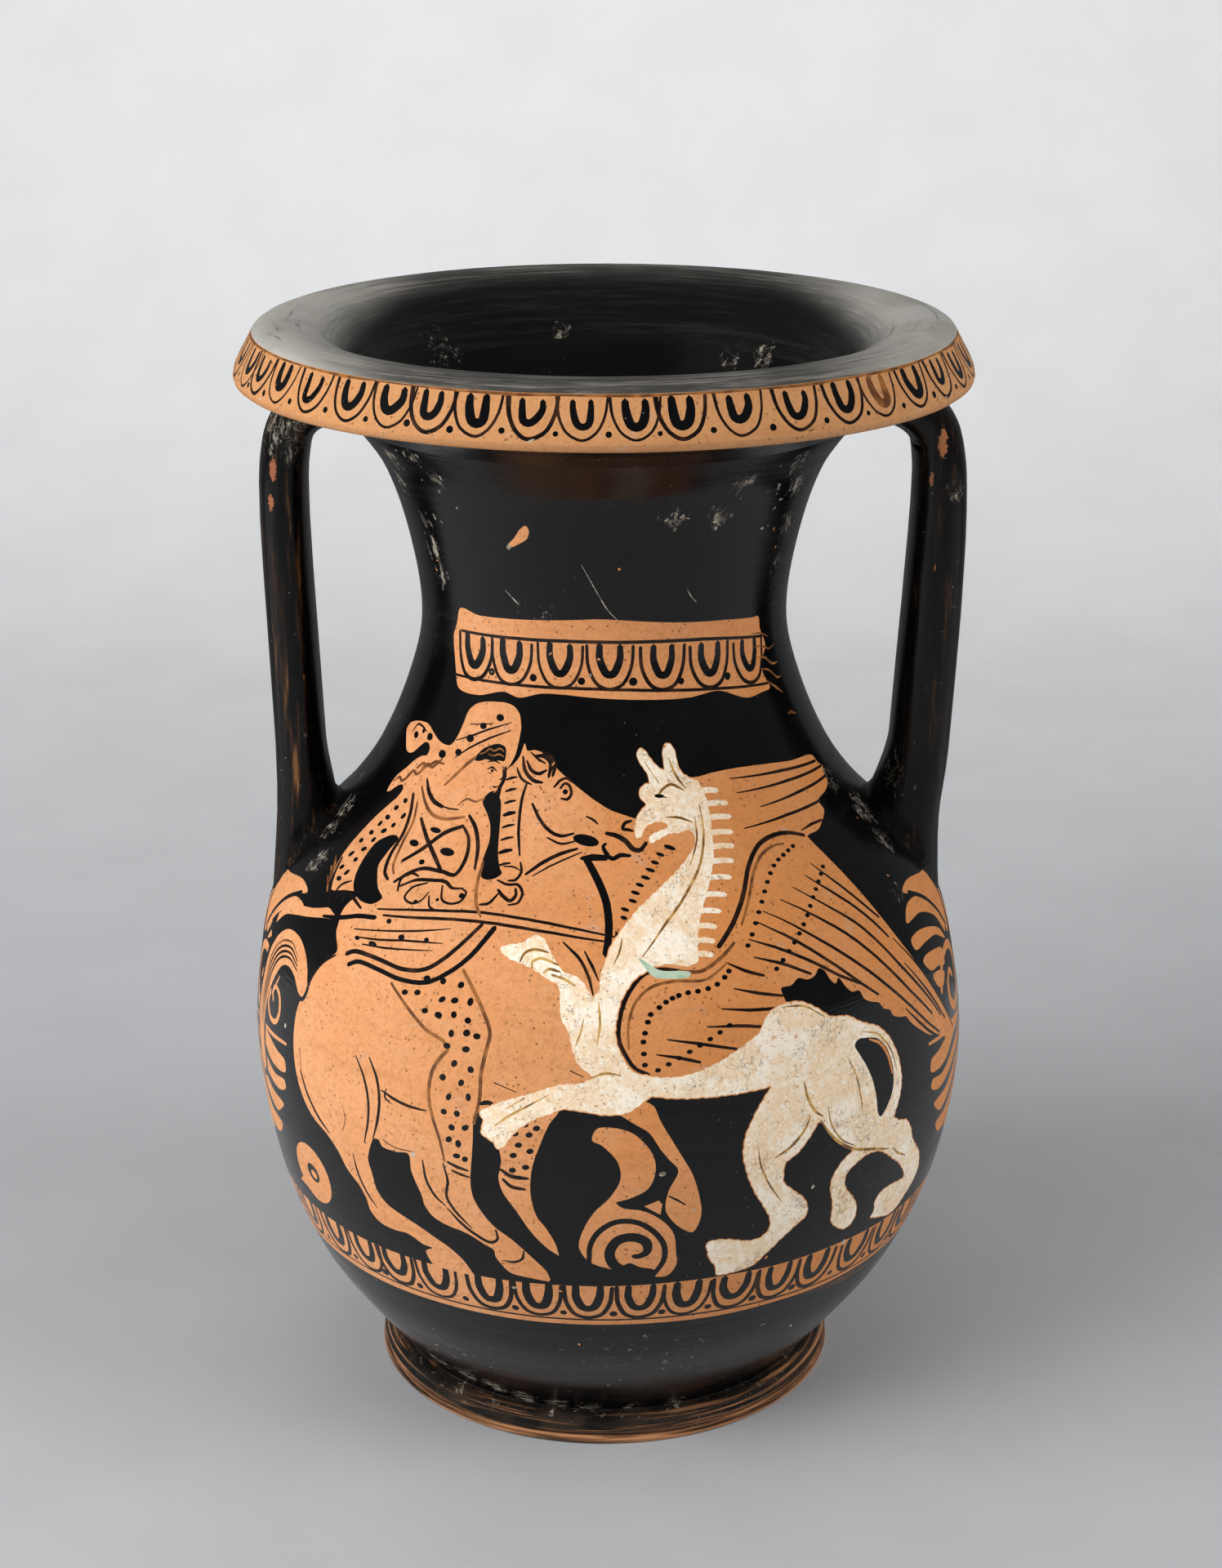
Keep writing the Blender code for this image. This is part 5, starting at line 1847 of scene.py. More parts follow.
def strap_stations(path, thickness):
    """Reach, height, outward side, thickness and shares of both roots, at close steps down a handle."""
    line = smooth_run(path)
    steps = np.linalg.norm(np.diff(line, axis=0), axis=1)
    travelled = np.concatenate([[0.0], np.cumsum(steps)])
    share = travelled / travelled[-1]
    marks = np.concatenate([
        np.arange(HANDLE_STARTS_AT, UPPER_ROOT_SHARE, ROOT_STEP),
        np.arange(UPPER_ROOT_SHARE, FINE_STEPS_FROM, STRAP_STEP),
        np.arange(FINE_STEPS_FROM, 1.0001, ROOT_STEP),
    ])
    reach = np.interp(marks, share, line[:, 0])
    height = np.interp(marks, share, line[:, 1])
    run = np.stack([np.gradient(reach), np.gradient(height)], -1)
    run /= np.linalg.norm(run, axis=1, keepdims=True)
    outward = np.stack([-run[:, 1], run[:, 0]], -1)
    across = np.array([smooth_value(thickness, mark) for mark in marks])
    upper = np.maximum(0.0, 1.0 - marks / UPPER_ROOT_SHARE) ** ROOT_CURVE
    lower = np.maximum(0.0, (marks - LOWER_ROOT_SHARE) / (1.0 - LOWER_ROOT_SHARE)) ** ROOT_CURVE
    return reach, height, outward, across, upper, lower


def handle_mesh(name, side, path, thickness):
    """A strap handle whose roots flare softly into the wall."""
    reach, height, outward, across, upper, lower = strap_stations(path, thickness)
    power = 2.0 / HANDLE_SQUARENESS
    angles = 2.0 * math.pi * (np.arange(HANDLE_SIDES) + 0.5) / HANDLE_SIDES
    c, s = np.cos(angles), np.sin(angles)
    u = 0.5 * across[:, None] * np.sign(c) * np.abs(c) ** power
    u = np.where(u < 0.0, u * (1.0 + LOWER_ROOT_FILL * lower[:, None]), u)
    half_depth = 0.5 * HANDLE_DEPTH + ROOT_SPREAD * np.maximum(upper, lower)
    v = half_depth[:, None] * np.sign(s) * np.abs(s) ** power
    x = side * (reach[:, None] + u * outward[:, :1])
    z = height[:, None] + u * outward[:, 1:]
    points = np.stack([x, v, z], -1)
    points = flared(points)
    count = len(reach)
    faces = []
    for i in range(count - 1):
        for k in range(HANDLE_SIDES):
            j = (k + 1) % HANDLE_SIDES
            faces.append([i * HANDLE_SIDES + k, i * HANDLE_SIDES + j, (i + 1) * HANDLE_SIDES + j,
                          (i + 1) * HANDLE_SIDES + k])
    faces.append(list(range(HANDLE_SIDES)))
    faces.append([(count - 1) * HANDLE_SIDES + k for k in range(HANDLE_SIDES)][::-1])
    mesh = bpy.data.meshes.new(name)
    mesh.from_pydata((points.reshape(-1, 3) * MM).tolist(), [], faces)
    work = bmesh.new()
    work.from_mesh(mesh)
    bmesh.ops.recalc_face_normals(work, faces=work.faces)
    work.to_mesh(mesh)
    work.free()
    mesh.shade_smooth()
    return mesh


def wall_radius(heights):
    """Radius of the jar's outside, wall and underside of the lip, at an array of heights."""
    below = [(z, smooth_value(WALL, z)) for z in np.arange(HANDLE_WALL_FROM, PAINTED_TO, 1.0)]
    line = np.array(below + [(z, r) for r, z in UNDER_LIP[:RISING_LIP_RINGS]])
    return np.interp(heights, line[:, 0], line[:, 1])


def flared(points):
    """Handle points moved so that the sides curve out where they come close to the wall."""
    shift = np.array([lean(z) for z in points[..., 2].ravel()]).reshape(points.shape[:2])
    away = np.hypot(points[..., 0] - shift, points[..., 1]) - wall_radius(points[..., 2])
    slope = wall_radius(points[..., 2] + 0.5) - wall_radius(points[..., 2] - 0.5)
    away = away / np.hypot(1.0, slope)
    ahead = np.gradient(points, axis=0)
    around = np.roll(points, -1, axis=1) - np.roll(points, 1, axis=1)
    normal = np.cross(around, ahead)
    normal /= np.maximum(np.linalg.norm(normal, axis=-1, keepdims=True), 1e-9)
    middle = points.mean(axis=1, keepdims=True)
    outwards = np.sign(((points - middle) * normal).sum(-1, keepdims=True))
    normal = normal * outwards
    radial = np.stack([points[..., 0] - shift, points[..., 1], 0.0 * shift], -1)
    radial /= np.linalg.norm(radial, axis=-1, keepdims=True)
    wall_normal = np.stack([radial[..., 0], radial[..., 1], -slope], -1)
    wall_normal /= np.linalg.norm(wall_normal, axis=-1, keepdims=True)
    facing = (normal * wall_normal).sum(-1)
    reach = np.where(facing < -0.5, CROTCH_FILLET, SIDE_FILLET)
    near = np.clip(reach - away, 0.0, reach)
    push = (reach - np.sqrt(reach**2 - near**2)) * np.clip(1.0 - np.maximum(facing, 0.0) * 1.6, 0.0, 1.0)
    moved = points + normal * push[..., None]
    shift = shift[..., None] * np.array([1.0, 0.0, 0.0])
    flat = moved - shift
    distance = np.hypot(flat[..., 0], flat[..., 1])
    least = wall_radius(moved[..., 2]) - ROOT_DEPTH
    grow = np.maximum(1.0, least / np.maximum(distance, 1e-6))
    flat[..., 0] *= grow
    flat[..., 1] *= grow
    return flat + shift


class Nodes:
    """Short ways to add the nodes of one material."""

    def __init__(self, name, roughness, specular=0.5):
        self.material = bpy.data.materials.new(name)
        self.material.use_nodes = True
        self.tree = self.material.node_tree
        self.tree.nodes.clear()
        self.output = self.tree.nodes.new("ShaderNodeOutputMaterial")
        self.shader = self.tree.nodes.new("ShaderNodeBsdfPrincipled")
        self.shader.inputs["Roughness"].default_value = roughness
        self.shader.inputs["Specular IOR Level"].default_value = specular
        self.link(self.shader.outputs[0], self.output.inputs["Surface"])
        self.place = self.tree.nodes.new("ShaderNodeTexCoord").outputs["Object"]

    def link(self, start, end):
        self.tree.links.new(start, end)

    def put(self, value, socket):
        """Sets a socket to a number or colour, or links another socket to it."""
        if isinstance(value, bpy.types.NodeSocket):
            self.link(value, socket)
        elif isinstance(value, tuple) and len(value) == 3 and socket.type == "RGBA":
            socket.default_value = (*value, 1.0)
        else:
            socket.default_value = value

    def scaled(self, x, y, z):
        """Object coordinates stretched by a factor for each axis."""
        node = self.tree.nodes.new("ShaderNodeMapping")
        node.inputs["Scale"].default_value = (x, y, z)
        self.link(self.place, node.inputs["Vector"])
        return node.outputs[0]

    def noise(self, size, detail=3.0, place=None, rough=0.55, twist=0.0):
        """Cloudy noise from 0 to 1 with features of about a size in millimetres."""
        node = self.tree.nodes.new("ShaderNodeTexNoise")
        self.link(place or self.place, node.inputs["Vector"])
        node.inputs["Scale"].default_value = 1000.0 / size
        node.inputs["Detail"].default_value = detail
        node.inputs["Roughness"].default_value = rough
        node.inputs["Distortion"].default_value = twist
        return node.outputs["Fac"]

    def spots(self, size, place=None):
        """Distance to the nearest of many scattered points, as a share of their spacing."""
        node = self.tree.nodes.new("ShaderNodeTexVoronoi")
        self.link(place or self.place, node.inputs["Vector"])
        node.inputs["Scale"].default_value = 1000.0 / size
        return node.outputs["Distance"]

    def axes(self):
        """The x, y and z of a place on the jar."""
        node = self.tree.nodes.new("ShaderNodeSeparateXYZ")
        self.link(self.place, node.inputs[0])
        return node.outputs

    def distance(self, place, spot):
        """How far a place is from a spot given in millimetres."""
        node = self.tree.nodes.new("ShaderNodeVectorMath")
        node.operation = "DISTANCE"
        self.link(place, node.inputs[0])
        node.inputs[1].default_value = [MM * v for v in spot]
        return node.outputs["Value"]

    def math(self, operation, a, b=None):
        node = self.tree.nodes.new("ShaderNodeMath")
        node.operation = operation
        self.put(a, node.inputs[0])
        if b is not None:
            self.put(b, node.inputs[1])
        return node.outputs[0]

    def plus(self, a, b):
        return self.math("ADD", a, b)

    def times(self, a, b):
        return self.math("MULTIPLY", a, b)

    def most(self, a, b):
        return self.math("MAXIMUM", a, b)

    def span(self, value, low, high, to_low=0.0, to_high=1.0):
        """A value's range low..high mapped to another range, held at its ends."""
        node = self.tree.nodes.new("ShaderNodeMapRange")
        node.interpolation_type = "SMOOTHSTEP"
        self.put(value, node.inputs["Value"])
        node.inputs["From Min"].default_value = low
        node.inputs["From Max"].default_value = high
        node.inputs["To Min"].default_value = to_low
        node.inputs["To Max"].default_value = to_high
        return node.outputs[0]

    def mix(self, share, a, b):
        node = self.tree.nodes.new("ShaderNodeMix")
        node.data_type = "RGBA"
        self.put(share, node.inputs["Factor"])
        self.put(a, node.inputs[6])
        self.put(b, node.inputs[7])
        return node.outputs[2]

    def blend(self, share, a, b):
        node = self.tree.nodes.new("ShaderNodeMix")
        self.put(share, node.inputs["Factor"])
        self.put(a, node.inputs[2])
        self.put(b, node.inputs[3])
        return node.outputs[0]

    def bump(self, height, depth):
        """A bump of a depth in millimetres."""
        node = self.tree.nodes.new("ShaderNodeBump")
        node.inputs["Distance"].default_value = 0.001 * depth
        self.link(height, node.inputs["Height"])
        self.link(node.outputs[0], self.shader.inputs["Normal"])

    def finish(self, colour, roughness):
        self.put(colour, self.shader.inputs["Base Color"])
        self.put(roughness, self.shader.inputs["Roughness"])
        return self.material


def crust_mask(n, patches, size, drawn_out, thick=0.13):
    """Where pale crust lies: cloudy grains and a net of fine lines, within patches."""
    near = None
    for place, reach, strength in patches:
        share = n.span(n.distance(n.place, place), 0.1 * MM * reach, MM * reach, strength, 0.0)
        near = share if near is None else n.most(near, share)
    grains = n.noise(size, 7.0, n.scaled(*drawn_out), 0.78)
    grains = n.span(n.plus(grains, n.times(near, thick)), 0.62, 0.72)
    net = n.math("SUBTRACT", n.noise(2.2 * size, 5.0, n.scaled(*drawn_out), 0.6, 0.8), 0.5)
    net = n.math("ABSOLUTE", net)
    net = n.times(n.span(net, 0.0, 0.014, 1.0, 0.0), n.span(near, 0.3, 0.8))
    return n.times(n.most(grains, n.times(net, 0.7)), n.span(near, 0.0, 0.3))


def on_the_wall(patches):
    """Patches of the wall as places in space."""
    wall = Zone(WALL, PAINTED_FROM, PAINTED_TO, GLOSS)
    placed = []
    for x, z, reach, strength in patches:
        spot = wall.place(np.array([float(x)]), np.array([float(z)]))[0]
        placed.append(([float(v) for v in spot], reach, strength))
    return placed


def gloss_material():
    """Black gloss: wheel streaks, fine scuffs, soft unevenness, many pale specks and patches of crust."""
    n = Nodes("black_gloss", 0.25, 0.34)
    streaks = n.noise(9.0, 4.0, n.scaled(0.12, 0.12, 2.2))
    clouds = n.noise(28.0, 4.0)
    fine = n.noise(1.1, 2.0)
    base = n.mix(n.span(clouds, 0.42, 0.72), (0.002, 0.002, 0.0026), (0.005, 0.0042, 0.0038))
    base = n.mix(n.span(streaks, 0.62, 0.8, 0.0, 0.5), base, (0.012, 0.0105, 0.0095))
    worn = n.span(n.noise(45.0, 3.0), 0.48, 0.62)
    speck = n.times(n.span(n.spots(3.4), 0.0, 0.1, 1.0, 0.0), worn)
    base = n.mix(n.times(speck, 0.7), base, (0.3, 0.25, 0.19))
    scuffs = n.span(n.noise(5.0, 6.0, None, 0.75, 1.2), 0.62, 0.72)
    base = n.mix(n.times(scuffs, n.times(worn, 0.3)), base, (0.1, 0.085, 0.065))
    crust = crust_mask(n, on_the_wall(CRUST_PATCHES), 3.0, (1.3, 1.3, 0.6))
    crust = n.most(crust, crust_mask(n, on_the_wall(FOOT_CRUST), 1.3, (0.3, 0.3, 1.2), 0.15))
    crust = n.most(crust, crust_mask(n, MOUTH_CRUST, 3.0, (1.0, 1.0, 1.0)))
    base = n.mix(n.times(crust, 0.85), base, CRUST_COLOUR)
    rough = n.span(clouds, 0.35, 0.75, 0.16, 0.28)
    rough = n.plus(rough, n.span(streaks, 0.45, 0.75, 0.0, 0.08))
    rough = n.blend(crust, rough, 0.8)
    height = n.plus(n.times(streaks, 1.6), n.times(fine, 0.35))
    n.bump(height, 0.12)
    return n.finish(base, rough)


def clay_material():
    """Reserved clay: orange slip with fine specks, scuffs and faint wheel marks, paler on the lip, and with
    painted light that makes it paler towards the left side.
    """
    n = Nodes("reserved_clay", 0.5, 0.3)
    clouds = n.noise(34.0, 4.0)
    streaks = n.noise(7.0, 3.0, n.scaled(0.15, 0.15, 2.0))
    grain = n.noise(0.9, 3.0)
    x, _, z = n.axes()
    # Patchy tone, plus painted light: the clay is painted paler towards the left side, where the lamp falls.
    patchy_and_painted_light = n.plus(n.span(clouds, 0.35, 0.68, -0.25, 0.25), n.span(x, -0.07, 0.06, 0.9, 0.1))
    base = n.mix(patchy_and_painted_light, (0.7, 0.268, 0.08), (0.77, 0.36, 0.165))
    base = n.mix(n.span(z, 0.305, 0.32), base, (0.6, 0.29, 0.12))
    base = n.mix(n.span(streaks, 0.5, 0.78, 0.0, 0.4), base, (0.52, 0.2, 0.065))
    blotches = n.span(n.noise(2.2, 6.0, None, 0.76), 0.46, 0.66, 0.0, 0.5)
    base = n.mix(blotches, base, (0.5, 0.21, 0.075))
    base = n.mix(n.span(grain, 0.52, 0.66, 0.0, 0.3), base, (0.42, 0.17, 0.06))
    smears = n.span(n.noise(8.0, 6.0, None, 0.74, 0.6), 0.58, 0.7, 0.0, 0.4)
    base = n.mix(smears, base, (0.6, 0.42, 0.31))
    dark = n.span(n.spots(2.1), 0.1, 0.24, 1.0, 0.0)
    dark = n.times(dark, n.span(n.noise(8.0), 0.42, 0.54))
    base = n.mix(n.times(dark, 0.8), base, (0.16, 0.06, 0.025))
    flecks = n.times(n.span(n.spots(1.2), 0.1, 0.26, 0.6, 0.0), n.span(n.noise(5.0), 0.5, 0.6))
    base = n.mix(flecks, base, (0.2, 0.08, 0.03))
    pale = n.times(n.span(n.spots(2.7), 0.0, 0.12, 1.0, 0.0), n.span(clouds, 0.5, 0.65))
    base = n.mix(n.times(pale, 0.7), base, (0.85, 0.62, 0.4))
    rough = n.span(clouds, 0.35, 0.7, 0.45, 0.6)
    height = n.plus(n.times(streaks, 1.0), n.times(grain, 0.5))
    n.bump(height, 0.1)
    return n.finish(base, rough)


def white_material():
    """Added white: thick chalky paint, cracked, stained yellow, flaked and worn."""
    n = Nodes("added_white", 0.6, 0.25)
    clouds = n.noise(12.0, 5.0)
    grain = n.noise(1.4, 4.0)
    base = n.mix(n.span(clouds, 0.44, 0.62), (0.92, 0.7, 0.47), (1.0, 0.88, 0.71))
    mottle = n.noise(1.7, 7.0, None, 0.78)
    base = n.mix(n.span(mottle, 0.5, 0.62, 0.0, 0.85), base, (1.0, 0.95, 0.84))
    base = n.mix(n.span(mottle, 0.36, 0.46, 0.6, 0.0), base, (0.74, 0.5, 0.27))
    stain = n.span(n.noise(4.0, 7.0, None, 0.74), 0.56, 0.74, 0.0, 0.65)
    base = n.mix(stain, base, (0.62, 0.36, 0.16))
    flecks = n.times(n.span(n.spots(1.1), 0.1, 0.3, 0.7, 0.0), n.span(n.noise(4.0), 0.46, 0.58))
    base = n.mix(flecks, base, (0.45, 0.29, 0.15))
    cracks = n.noise(4.5, 5.0, None, 0.6, 1.0)
    cracks = n.math("ABSOLUTE", n.math("SUBTRACT", cracks, 0.5))
    cracks = n.times(n.span(cracks, 0.0, 0.01, 1.0, 0.0), n.span(n.noise(9.0), 0.5, 0.62))
    base = n.mix(n.times(cracks, 0.5), base, (0.4, 0.25, 0.14))
    pits = n.times(n.span(n.spots(1.9), 0.08, 0.2, 1.0, 0.0), n.span(grain, 0.42, 0.52))
    base = n.mix(n.times(pits, 0.75), base, (0.24, 0.13, 0.06))
    flakes = n.span(n.noise(2.2, 6.0, None, 0.7), 0.6, 0.64)
    base = n.mix(n.times(flakes, n.span(n.noise(20.0), 0.45, 0.6, 0.1, 0.8)), base, (0.6, 0.31, 0.12))
    n.bump(n.plus(n.times(clouds, 1.4), n.math("SUBTRACT", grain, cracks)), 0.25)
    return n.finish(base, n.span(grain, 0.3, 0.7, 0.5, 0.7))


def relief_material():
    """Brown-black slip of the fine lines, thinner in places."""
    n = Nodes("fine_line_slip", 0.35, 0.3)
    clouds = n.noise(6.0, 4.0)
    base = n.mix(n.span(clouds, 0.45, 0.7), (0.007, 0.004, 0.0035), (0.045, 0.018, 0.008))
    n.bump(n.noise(1.0, 2.0), 0.05)
    return n.finish(base, n.span(clouds, 0.3, 0.7, 0.25, 0.4))


def ochre_material():
    """Golden thinned slip over the white, darker where it is thick."""
    n = Nodes("golden_slip", 0.45, 0.3)
    clouds = n.noise(5.0, 4.0)
    base = n.mix(n.span(clouds, 0.4, 0.62), (0.2, 0.09, 0.02), (0.62, 0.36, 0.1))
    n.bump(n.noise(1.0, 2.0), 0.05)
    return n.finish(base, n.span(clouds, 0.3, 0.7, 0.4, 0.55))


def dilute_material():
    """Thinned brown slip, for inner lines."""
    n = Nodes("dilute_slip", 0.4)
    clouds = n.noise(5.0, 3.0)
    base = n.mix(n.span(clouds, 0.4, 0.62), (0.13, 0.045, 0.014), (0.33, 0.125, 0.03))
    n.bump(n.noise(1.0, 2.0), 0.05)
    return n.finish(base, n.span(clouds, 0.3, 0.7, 0.35, 0.5))


def deposit_material():
    """Pale limy crust left in corners and chips."""
    n = Nodes("limy_crust", 0.8, 0.2)
    clouds = n.noise(3.0, 5.0)
    base = n.mix(n.span(clouds, 0.4, 0.6), (0.16, 0.125, 0.09), (0.5, 0.45, 0.36))
    n.bump(clouds, 0.5)
    return n.finish(base, n.span(clouds, 0.3, 0.7, 0.7, 0.9))


def green_material():
    """A green metal stain."""
    n = Nodes("green_stain", 0.7, 0.3)
    clouds = n.noise(4.0, 4.0)
    base = n.mix(n.span(clouds, 0.4, 0.62), (0.32, 0.5, 0.36), (0.5, 0.62, 0.47))
    n.bump(clouds, 0.2)
    return n.finish(base, n.span(clouds, 0.3, 0.7, 0.6, 0.8))


def worn_and_sheen_material():
    """Rubbed black on the lip's top, with marks that run round it, and painted sheen that makes the rubbed
    rim and its marks paler towards the left and right sides.
    """
    n = Nodes("rubbed_black_and_painted_sheen", 0.45, 0.33)
    x, y, _ = n.axes()
    radius = n.math("SQRT", n.plus(n.times(x, x), n.times(y, y)))
    rings = n.tree.nodes.new("ShaderNodeCombineXYZ")
    n.link(radius, rings.inputs[0])
    n.link(n.times(x, 0.035), rings.inputs[1])
    n.link(n.times(y, 0.035), rings.inputs[2])
    marks = n.noise(1.5, 6.0, rings.outputs[0], 0.76)
    clouds = n.noise(22.0, 4.0)
    # Painted sheen: a share that grows towards the left and right sides of the lip's top.
    painted_sheen_at_sides = n.span(n.times(x, x), 0.002, 0.009)
    # The rubbed outer ring, drawn wider towards the sides as part of the painted sheen.
    outer = n.span(n.plus(radius, n.times(painted_sheen_at_sides, 0.013)), 0.08, 0.1)
    # The rubbed colour goes from near black at the front to pale grey at the sides: painted sheen.
    rubbed_and_painted_sheen = n.mix(painted_sheen_at_sides, (0.05, 0.047, 0.042), (0.48, 0.46, 0.42))
    base = n.mix(outer, (0.004, 0.004, 0.004), rubbed_and_painted_sheen)
    # Pale patches, painted stronger towards the sides as part of the painted sheen.
    patches = n.times(n.span(clouds, 0.4, 0.65, 0.0, 0.6), n.span(painted_sheen_at_sides, 0.0, 1.0, 0.25, 1.0))
    base = n.mix(n.times(patches, outer), base, (0.28, 0.26, 0.225))
    # Marks round the rim, real wear shown more strongly towards the sides as painted sheen.
    wear_and_sheen = n.span(marks, 0.46, 0.66)
    wear_and_sheen = n.times(wear_and_sheen, n.span(outer, 0.0, 1.0, 0.05, 1.0))
    wear_and_sheen = n.times(wear_and_sheen, n.span(painted_sheen_at_sides, 0.0, 1.0, 0.45, 1.0))
    base = n.mix(wear_and_sheen, base, (0.42, 0.39, 0.34))
    dents = n.span(marks, 0.34, 0.43, 0.7, 0.0)
    base = n.mix(n.times(dents, outer), base, (0.02, 0.018, 0.016))
    crust = crust_mask(n, MOUTH_CRUST, 3.0, (1.0, 1.0, 1.0))
    base = n.mix(n.times(crust, 0.85), base, CRUST_COLOUR)
    n.bump(marks, 0.12)
    rough = n.plus(n.span(marks, 0.3, 0.7, 0.22, 0.36), n.span(outer, 0.0, 1.0, 0.0, 0.1))
    return n.finish(base, rough)


def bare_material():
    """Unpainted clay inside the belly and under the foot."""
    n = Nodes("bare_clay", 0.75, 0.3)
    clouds = n.noise(18.0, 5.0)
    grain = n.noise(1.2, 3.0)
    base = n.mix(n.span(clouds, 0.35, 0.68), (0.42, 0.2, 0.1), (0.55, 0.28, 0.14))
    n.bump(grain, 0.2)
    return n.finish(base, n.span(grain, 0.3, 0.7, 0.65, 0.85))


def foot_material():
    """Worn black over the foot's grooves, with clay, dirt and crust showing through."""
    n = Nodes("worn_foot", 0.5, 0.35)
    x, _, z = n.axes()
    rings = n.noise(5.0, 5.0, n.scaled(0.1, 0.1, 4.6), 0.6)
    clouds = n.noise(13.0, 5.0)
    base = n.mix(n.span(clouds, 0.4, 0.6), (0.008, 0.007, 0.006), (0.03, 0.02, 0.014))
    worn = n.plus(rings, n.span(z, 0.0, 0.007, 0.1, -0.03))
    worn = n.plus(worn, n.span(x, 0.035, 0.07, 0.0, 0.07))
    base = n.mix(n.span(worn, 0.5, 0.6), base, (0.2, 0.09, 0.04))
    base = n.mix(n.span(worn, 0.6, 0.68), base, (0.5, 0.23, 0.1))
    dirt = n.span(n.noise(3.4, 7.0, None, 0.75), 0.58, 0.66, 0.0, 0.8)
    dirt = n.times(dirt, n.span(z, 0.0045, 0.0085, 0.15, 1.0))
    base = n.mix(dirt, base, (0.46, 0.4, 0.31))
    n.bump(n.plus(rings, dirt), 0.3)
    return n.finish(base, n.span(clouds, 0.3, 0.7, 0.4, 0.65))


def handle_material(side):
    """Black gloss on a handle, with crust near its roots and clay showing where it is rubbed."""
    left = side < 0
    n = Nodes("handle_gloss_left" if left else "handle_gloss_right", 0.25, 0.24)
    x = n.axes()[0]
    clouds = n.noise(16.0, 5.0)
    streaks = n.noise(5.0, 6.0, n.scaled(2.2, 1.4, 0.16), 0.65)
    base = n.mix(n.span(clouds, 0.42, 0.72), (0.0025, 0.0025, 0.003), (0.007, 0.0055, 0.0045))
    inner = n.span(x, -0.1, -0.093, 0.3, 1.0) if left else n.span(clouds, 0.4, 0.7, 0.05, 0.25)
    base = n.mix(n.times(n.span(streaks, 0.5, 0.62), inner), base, (0.05, 0.022, 0.01))
    base = n.mix(n.times(n.span(streaks, 0.6, 0.68), inner), base, (0.24, 0.11, 0.04))
    speck = n.times(n.span(n.spots(4.0), 0.0, 0.1, 1.0, 0.0), n.span(clouds, 0.46, 0.56))
    base = n.mix(n.times(speck, 0.7), base, (0.36, 0.3, 0.22))
    crust = crust_mask(n, HANDLE_CRUST[side], 2.6, (1.3, 1.3, 0.6))
    base = n.mix(n.times(crust, 0.75), base, CRUST_COLOUR)
    narrow = (1.9, 1.0, 0.6)
    stretched = n.scaled(*narrow)
    chips = None
    for place, reach in HANDLE_CHIPS[side]:
        spot = [v * share for v, share in zip(place, narrow)]
        share = n.span(n.distance(stretched, spot), 0.0, MM * reach, 1.0, 0.0)
        chips = share if chips is None else n.most(chips, share)
    ragged = n.plus(chips, n.span(n.noise(1.4, 5.0, None, 0.75), 0.3, 0.7, 0.15, 0.85))
    chips = n.times(n.span(chips, 0.0, 0.2), n.span(ragged, 0.9, 0.96))
    base = n.mix(chips, base, (0.34, 0.12, 0.055) if left else (0.46, 0.18, 0.07))
    rough = n.blend(crust, n.span(clouds, 0.35, 0.75, 0.17, 0.3), 0.8)
    n.bump(n.plus(n.times(streaks, 1.2), n.times(n.noise(1.1), 0.35)), 0.12)
    return n.finish(base, rough)


def add_piece(name, mesh, materials):
    piece = bpy.data.objects.new(name, mesh)
    bpy.context.scene.collection.objects.link(piece)
    for material in materials:
        mesh.materials.append(material)
    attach(piece, "root")
    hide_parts("pelike")
    return piece


def make_jar():
    materials = [
        gloss_material(),
        clay_material(),
        white_material(),
        dilute_material(),
        deposit_material(),
        green_material(),
        worn_and_sheen_material(),
        bare_material(),
        foot_material(),
        relief_material(),
        ochre_material(),
    ]
    shell = jar_shell()
    add_piece("painted_jar", shell.mesh("painted_jar"), materials)


def make_handles():
    for side, name, path, thickness in (
        (-1, "left_handle", LEFT_HANDLE_PATH, LEFT_HANDLE_THICKNESS),
        (1, "right_handle", RIGHT_HANDLE_PATH, RIGHT_HANDLE_THICKNESS),
    ):
        mesh = handle_mesh(name, side, path, thickness)
        add_piece(name, mesh, [handle_material(side)])


def floor_material():
    """Matt pale grey paper."""
    n = Nodes("pale_paper", 0.8, 0.2)
    clouds = n.noise(60.0, 3.0)
    base = n.mix(n.span(clouds, 0.3, 0.7), (0.49, 0.50, 0.515), (0.51, 0.52, 0.535))
    n.bump(n.noise(1.5, 2.0), 0.02)
    return n.finish(base, n.span(clouds, 0.3, 0.7, 0.75, 0.85))


def add_sheet(name, profile, material):
    """A sheet of paper along a profile of depths and heights."""
    points = []
    for y, z in profile:
        points += [(-FLOOR_HALF_WIDTH, y, z), (FLOOR_HALF_WIDTH, y, z)]
    faces = [(2 * k, 2 * k + 1, 2 * k + 3, 2 * k + 2) for k in range(len(profile) - 1)]
    mesh = bpy.data.meshes.new(name)
    mesh.from_pydata(points, [], faces)
    mesh.shade_smooth()
    mesh.materials.append(material)
    sheet = bpy.data.objects.new(name, mesh)
    bpy.context.scene.collection.objects.link(sheet)
    return sheet


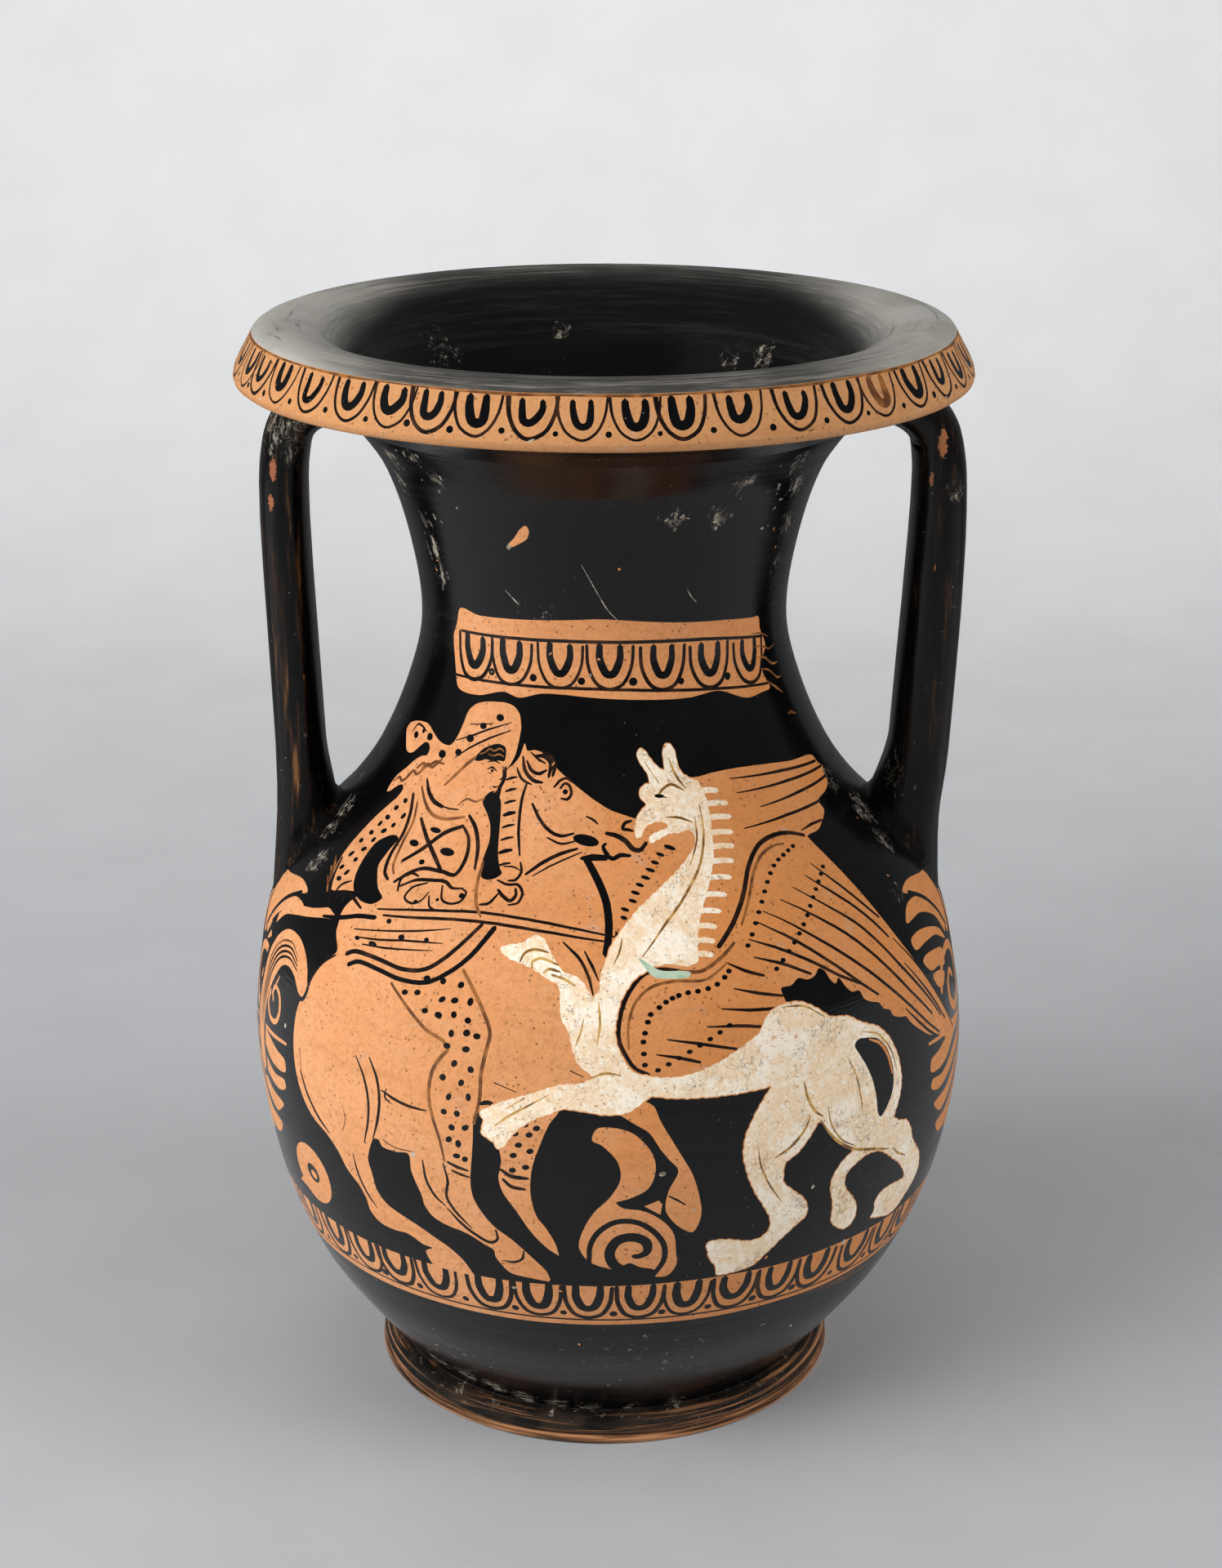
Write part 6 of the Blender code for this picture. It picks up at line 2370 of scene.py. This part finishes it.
def make_floor():
    """A pale floor, and behind it a backdrop that curves up and is not mirrored in the gloss."""
    paper = floor_material()
    add_sheet("floor", [(-FLOOR_FRONT, 0.0), (FLOOR_BACK, 0.0)], paper)
    profile = [(FLOOR_BACK, 0.0), (SWEEP_FROM, 0.0)]
    for k in range(1, SWEEP_STEPS + 1):
        angle = 0.5 * math.pi * k / SWEEP_STEPS
        profile.append((SWEEP_FROM + SWEEP_RADIUS * math.sin(angle), SWEEP_RADIUS * (1.0 - math.cos(angle))))
    profile.append((SWEEP_FROM + SWEEP_RADIUS, BACKDROP_HEIGHT))
    backdrop = add_sheet("backdrop", profile, paper)
    backdrop.visible_glossy = False


def add_softbox(name, place, target, size, power, shiny):
    """A rectangular lamp, which shows in polished surfaces only where it is said to."""
    light = bpy.data.lights.new(name, "AREA")
    light.shape = "RECTANGLE"
    light.size, light.size_y = size
    light.energy = power
    lamp = bpy.data.objects.new(name, light)
    bpy.context.scene.collection.objects.link(lamp)
    lamp.location = place
    lamp.rotation_euler = (Vector(target) - Vector(place)).to_track_quat("-Z", "Y").to_euler()
    lamp.visible_glossy = shiny


def light_the_scene():
    for softbox in SOFTBOXES:
        add_softbox(*softbox)
    backdrop_light = bpy.data.lights["backdrop_light"]
    backdrop_light.spread = math.radians(BACKDROP_BEAM)
    backdrop_light.color = BACKDROP_GLOW
    world = bpy.data.worlds.new("soft_surround")
    bpy.context.scene.world = world
    world.use_nodes = True
    shade = world.node_tree.nodes["Background"]
    shade.inputs["Color"].default_value = SURROUND_COLOUR
    shade.inputs["Strength"].default_value = SURROUND_STRENGTH


def place_camera():
    camera = bpy.data.cameras.new("camera")
    camera.sensor_fit = "HORIZONTAL"
    camera.sensor_width = CAMERA_SENSOR
    camera.lens = CAMERA_LENS
    camera.shift_x = CAMERA_SHIFT
    camera.clip_start = 0.05
    view = bpy.data.objects.new("camera", camera)
    bpy.context.scene.collection.objects.link(view)
    view.location = CAMERA_PLACE
    view.rotation_euler = (math.radians(CAMERA_TILT), 0.0, 0.0)
    bpy.context.scene.camera = view


def set_the_look():
    scene = bpy.context.scene
    scene.view_settings.view_transform = "Standard"
    scene.view_settings.look = "None"


make_jar()
make_handles()
make_floor()
light_the_scene()
place_camera()
set_the_look()
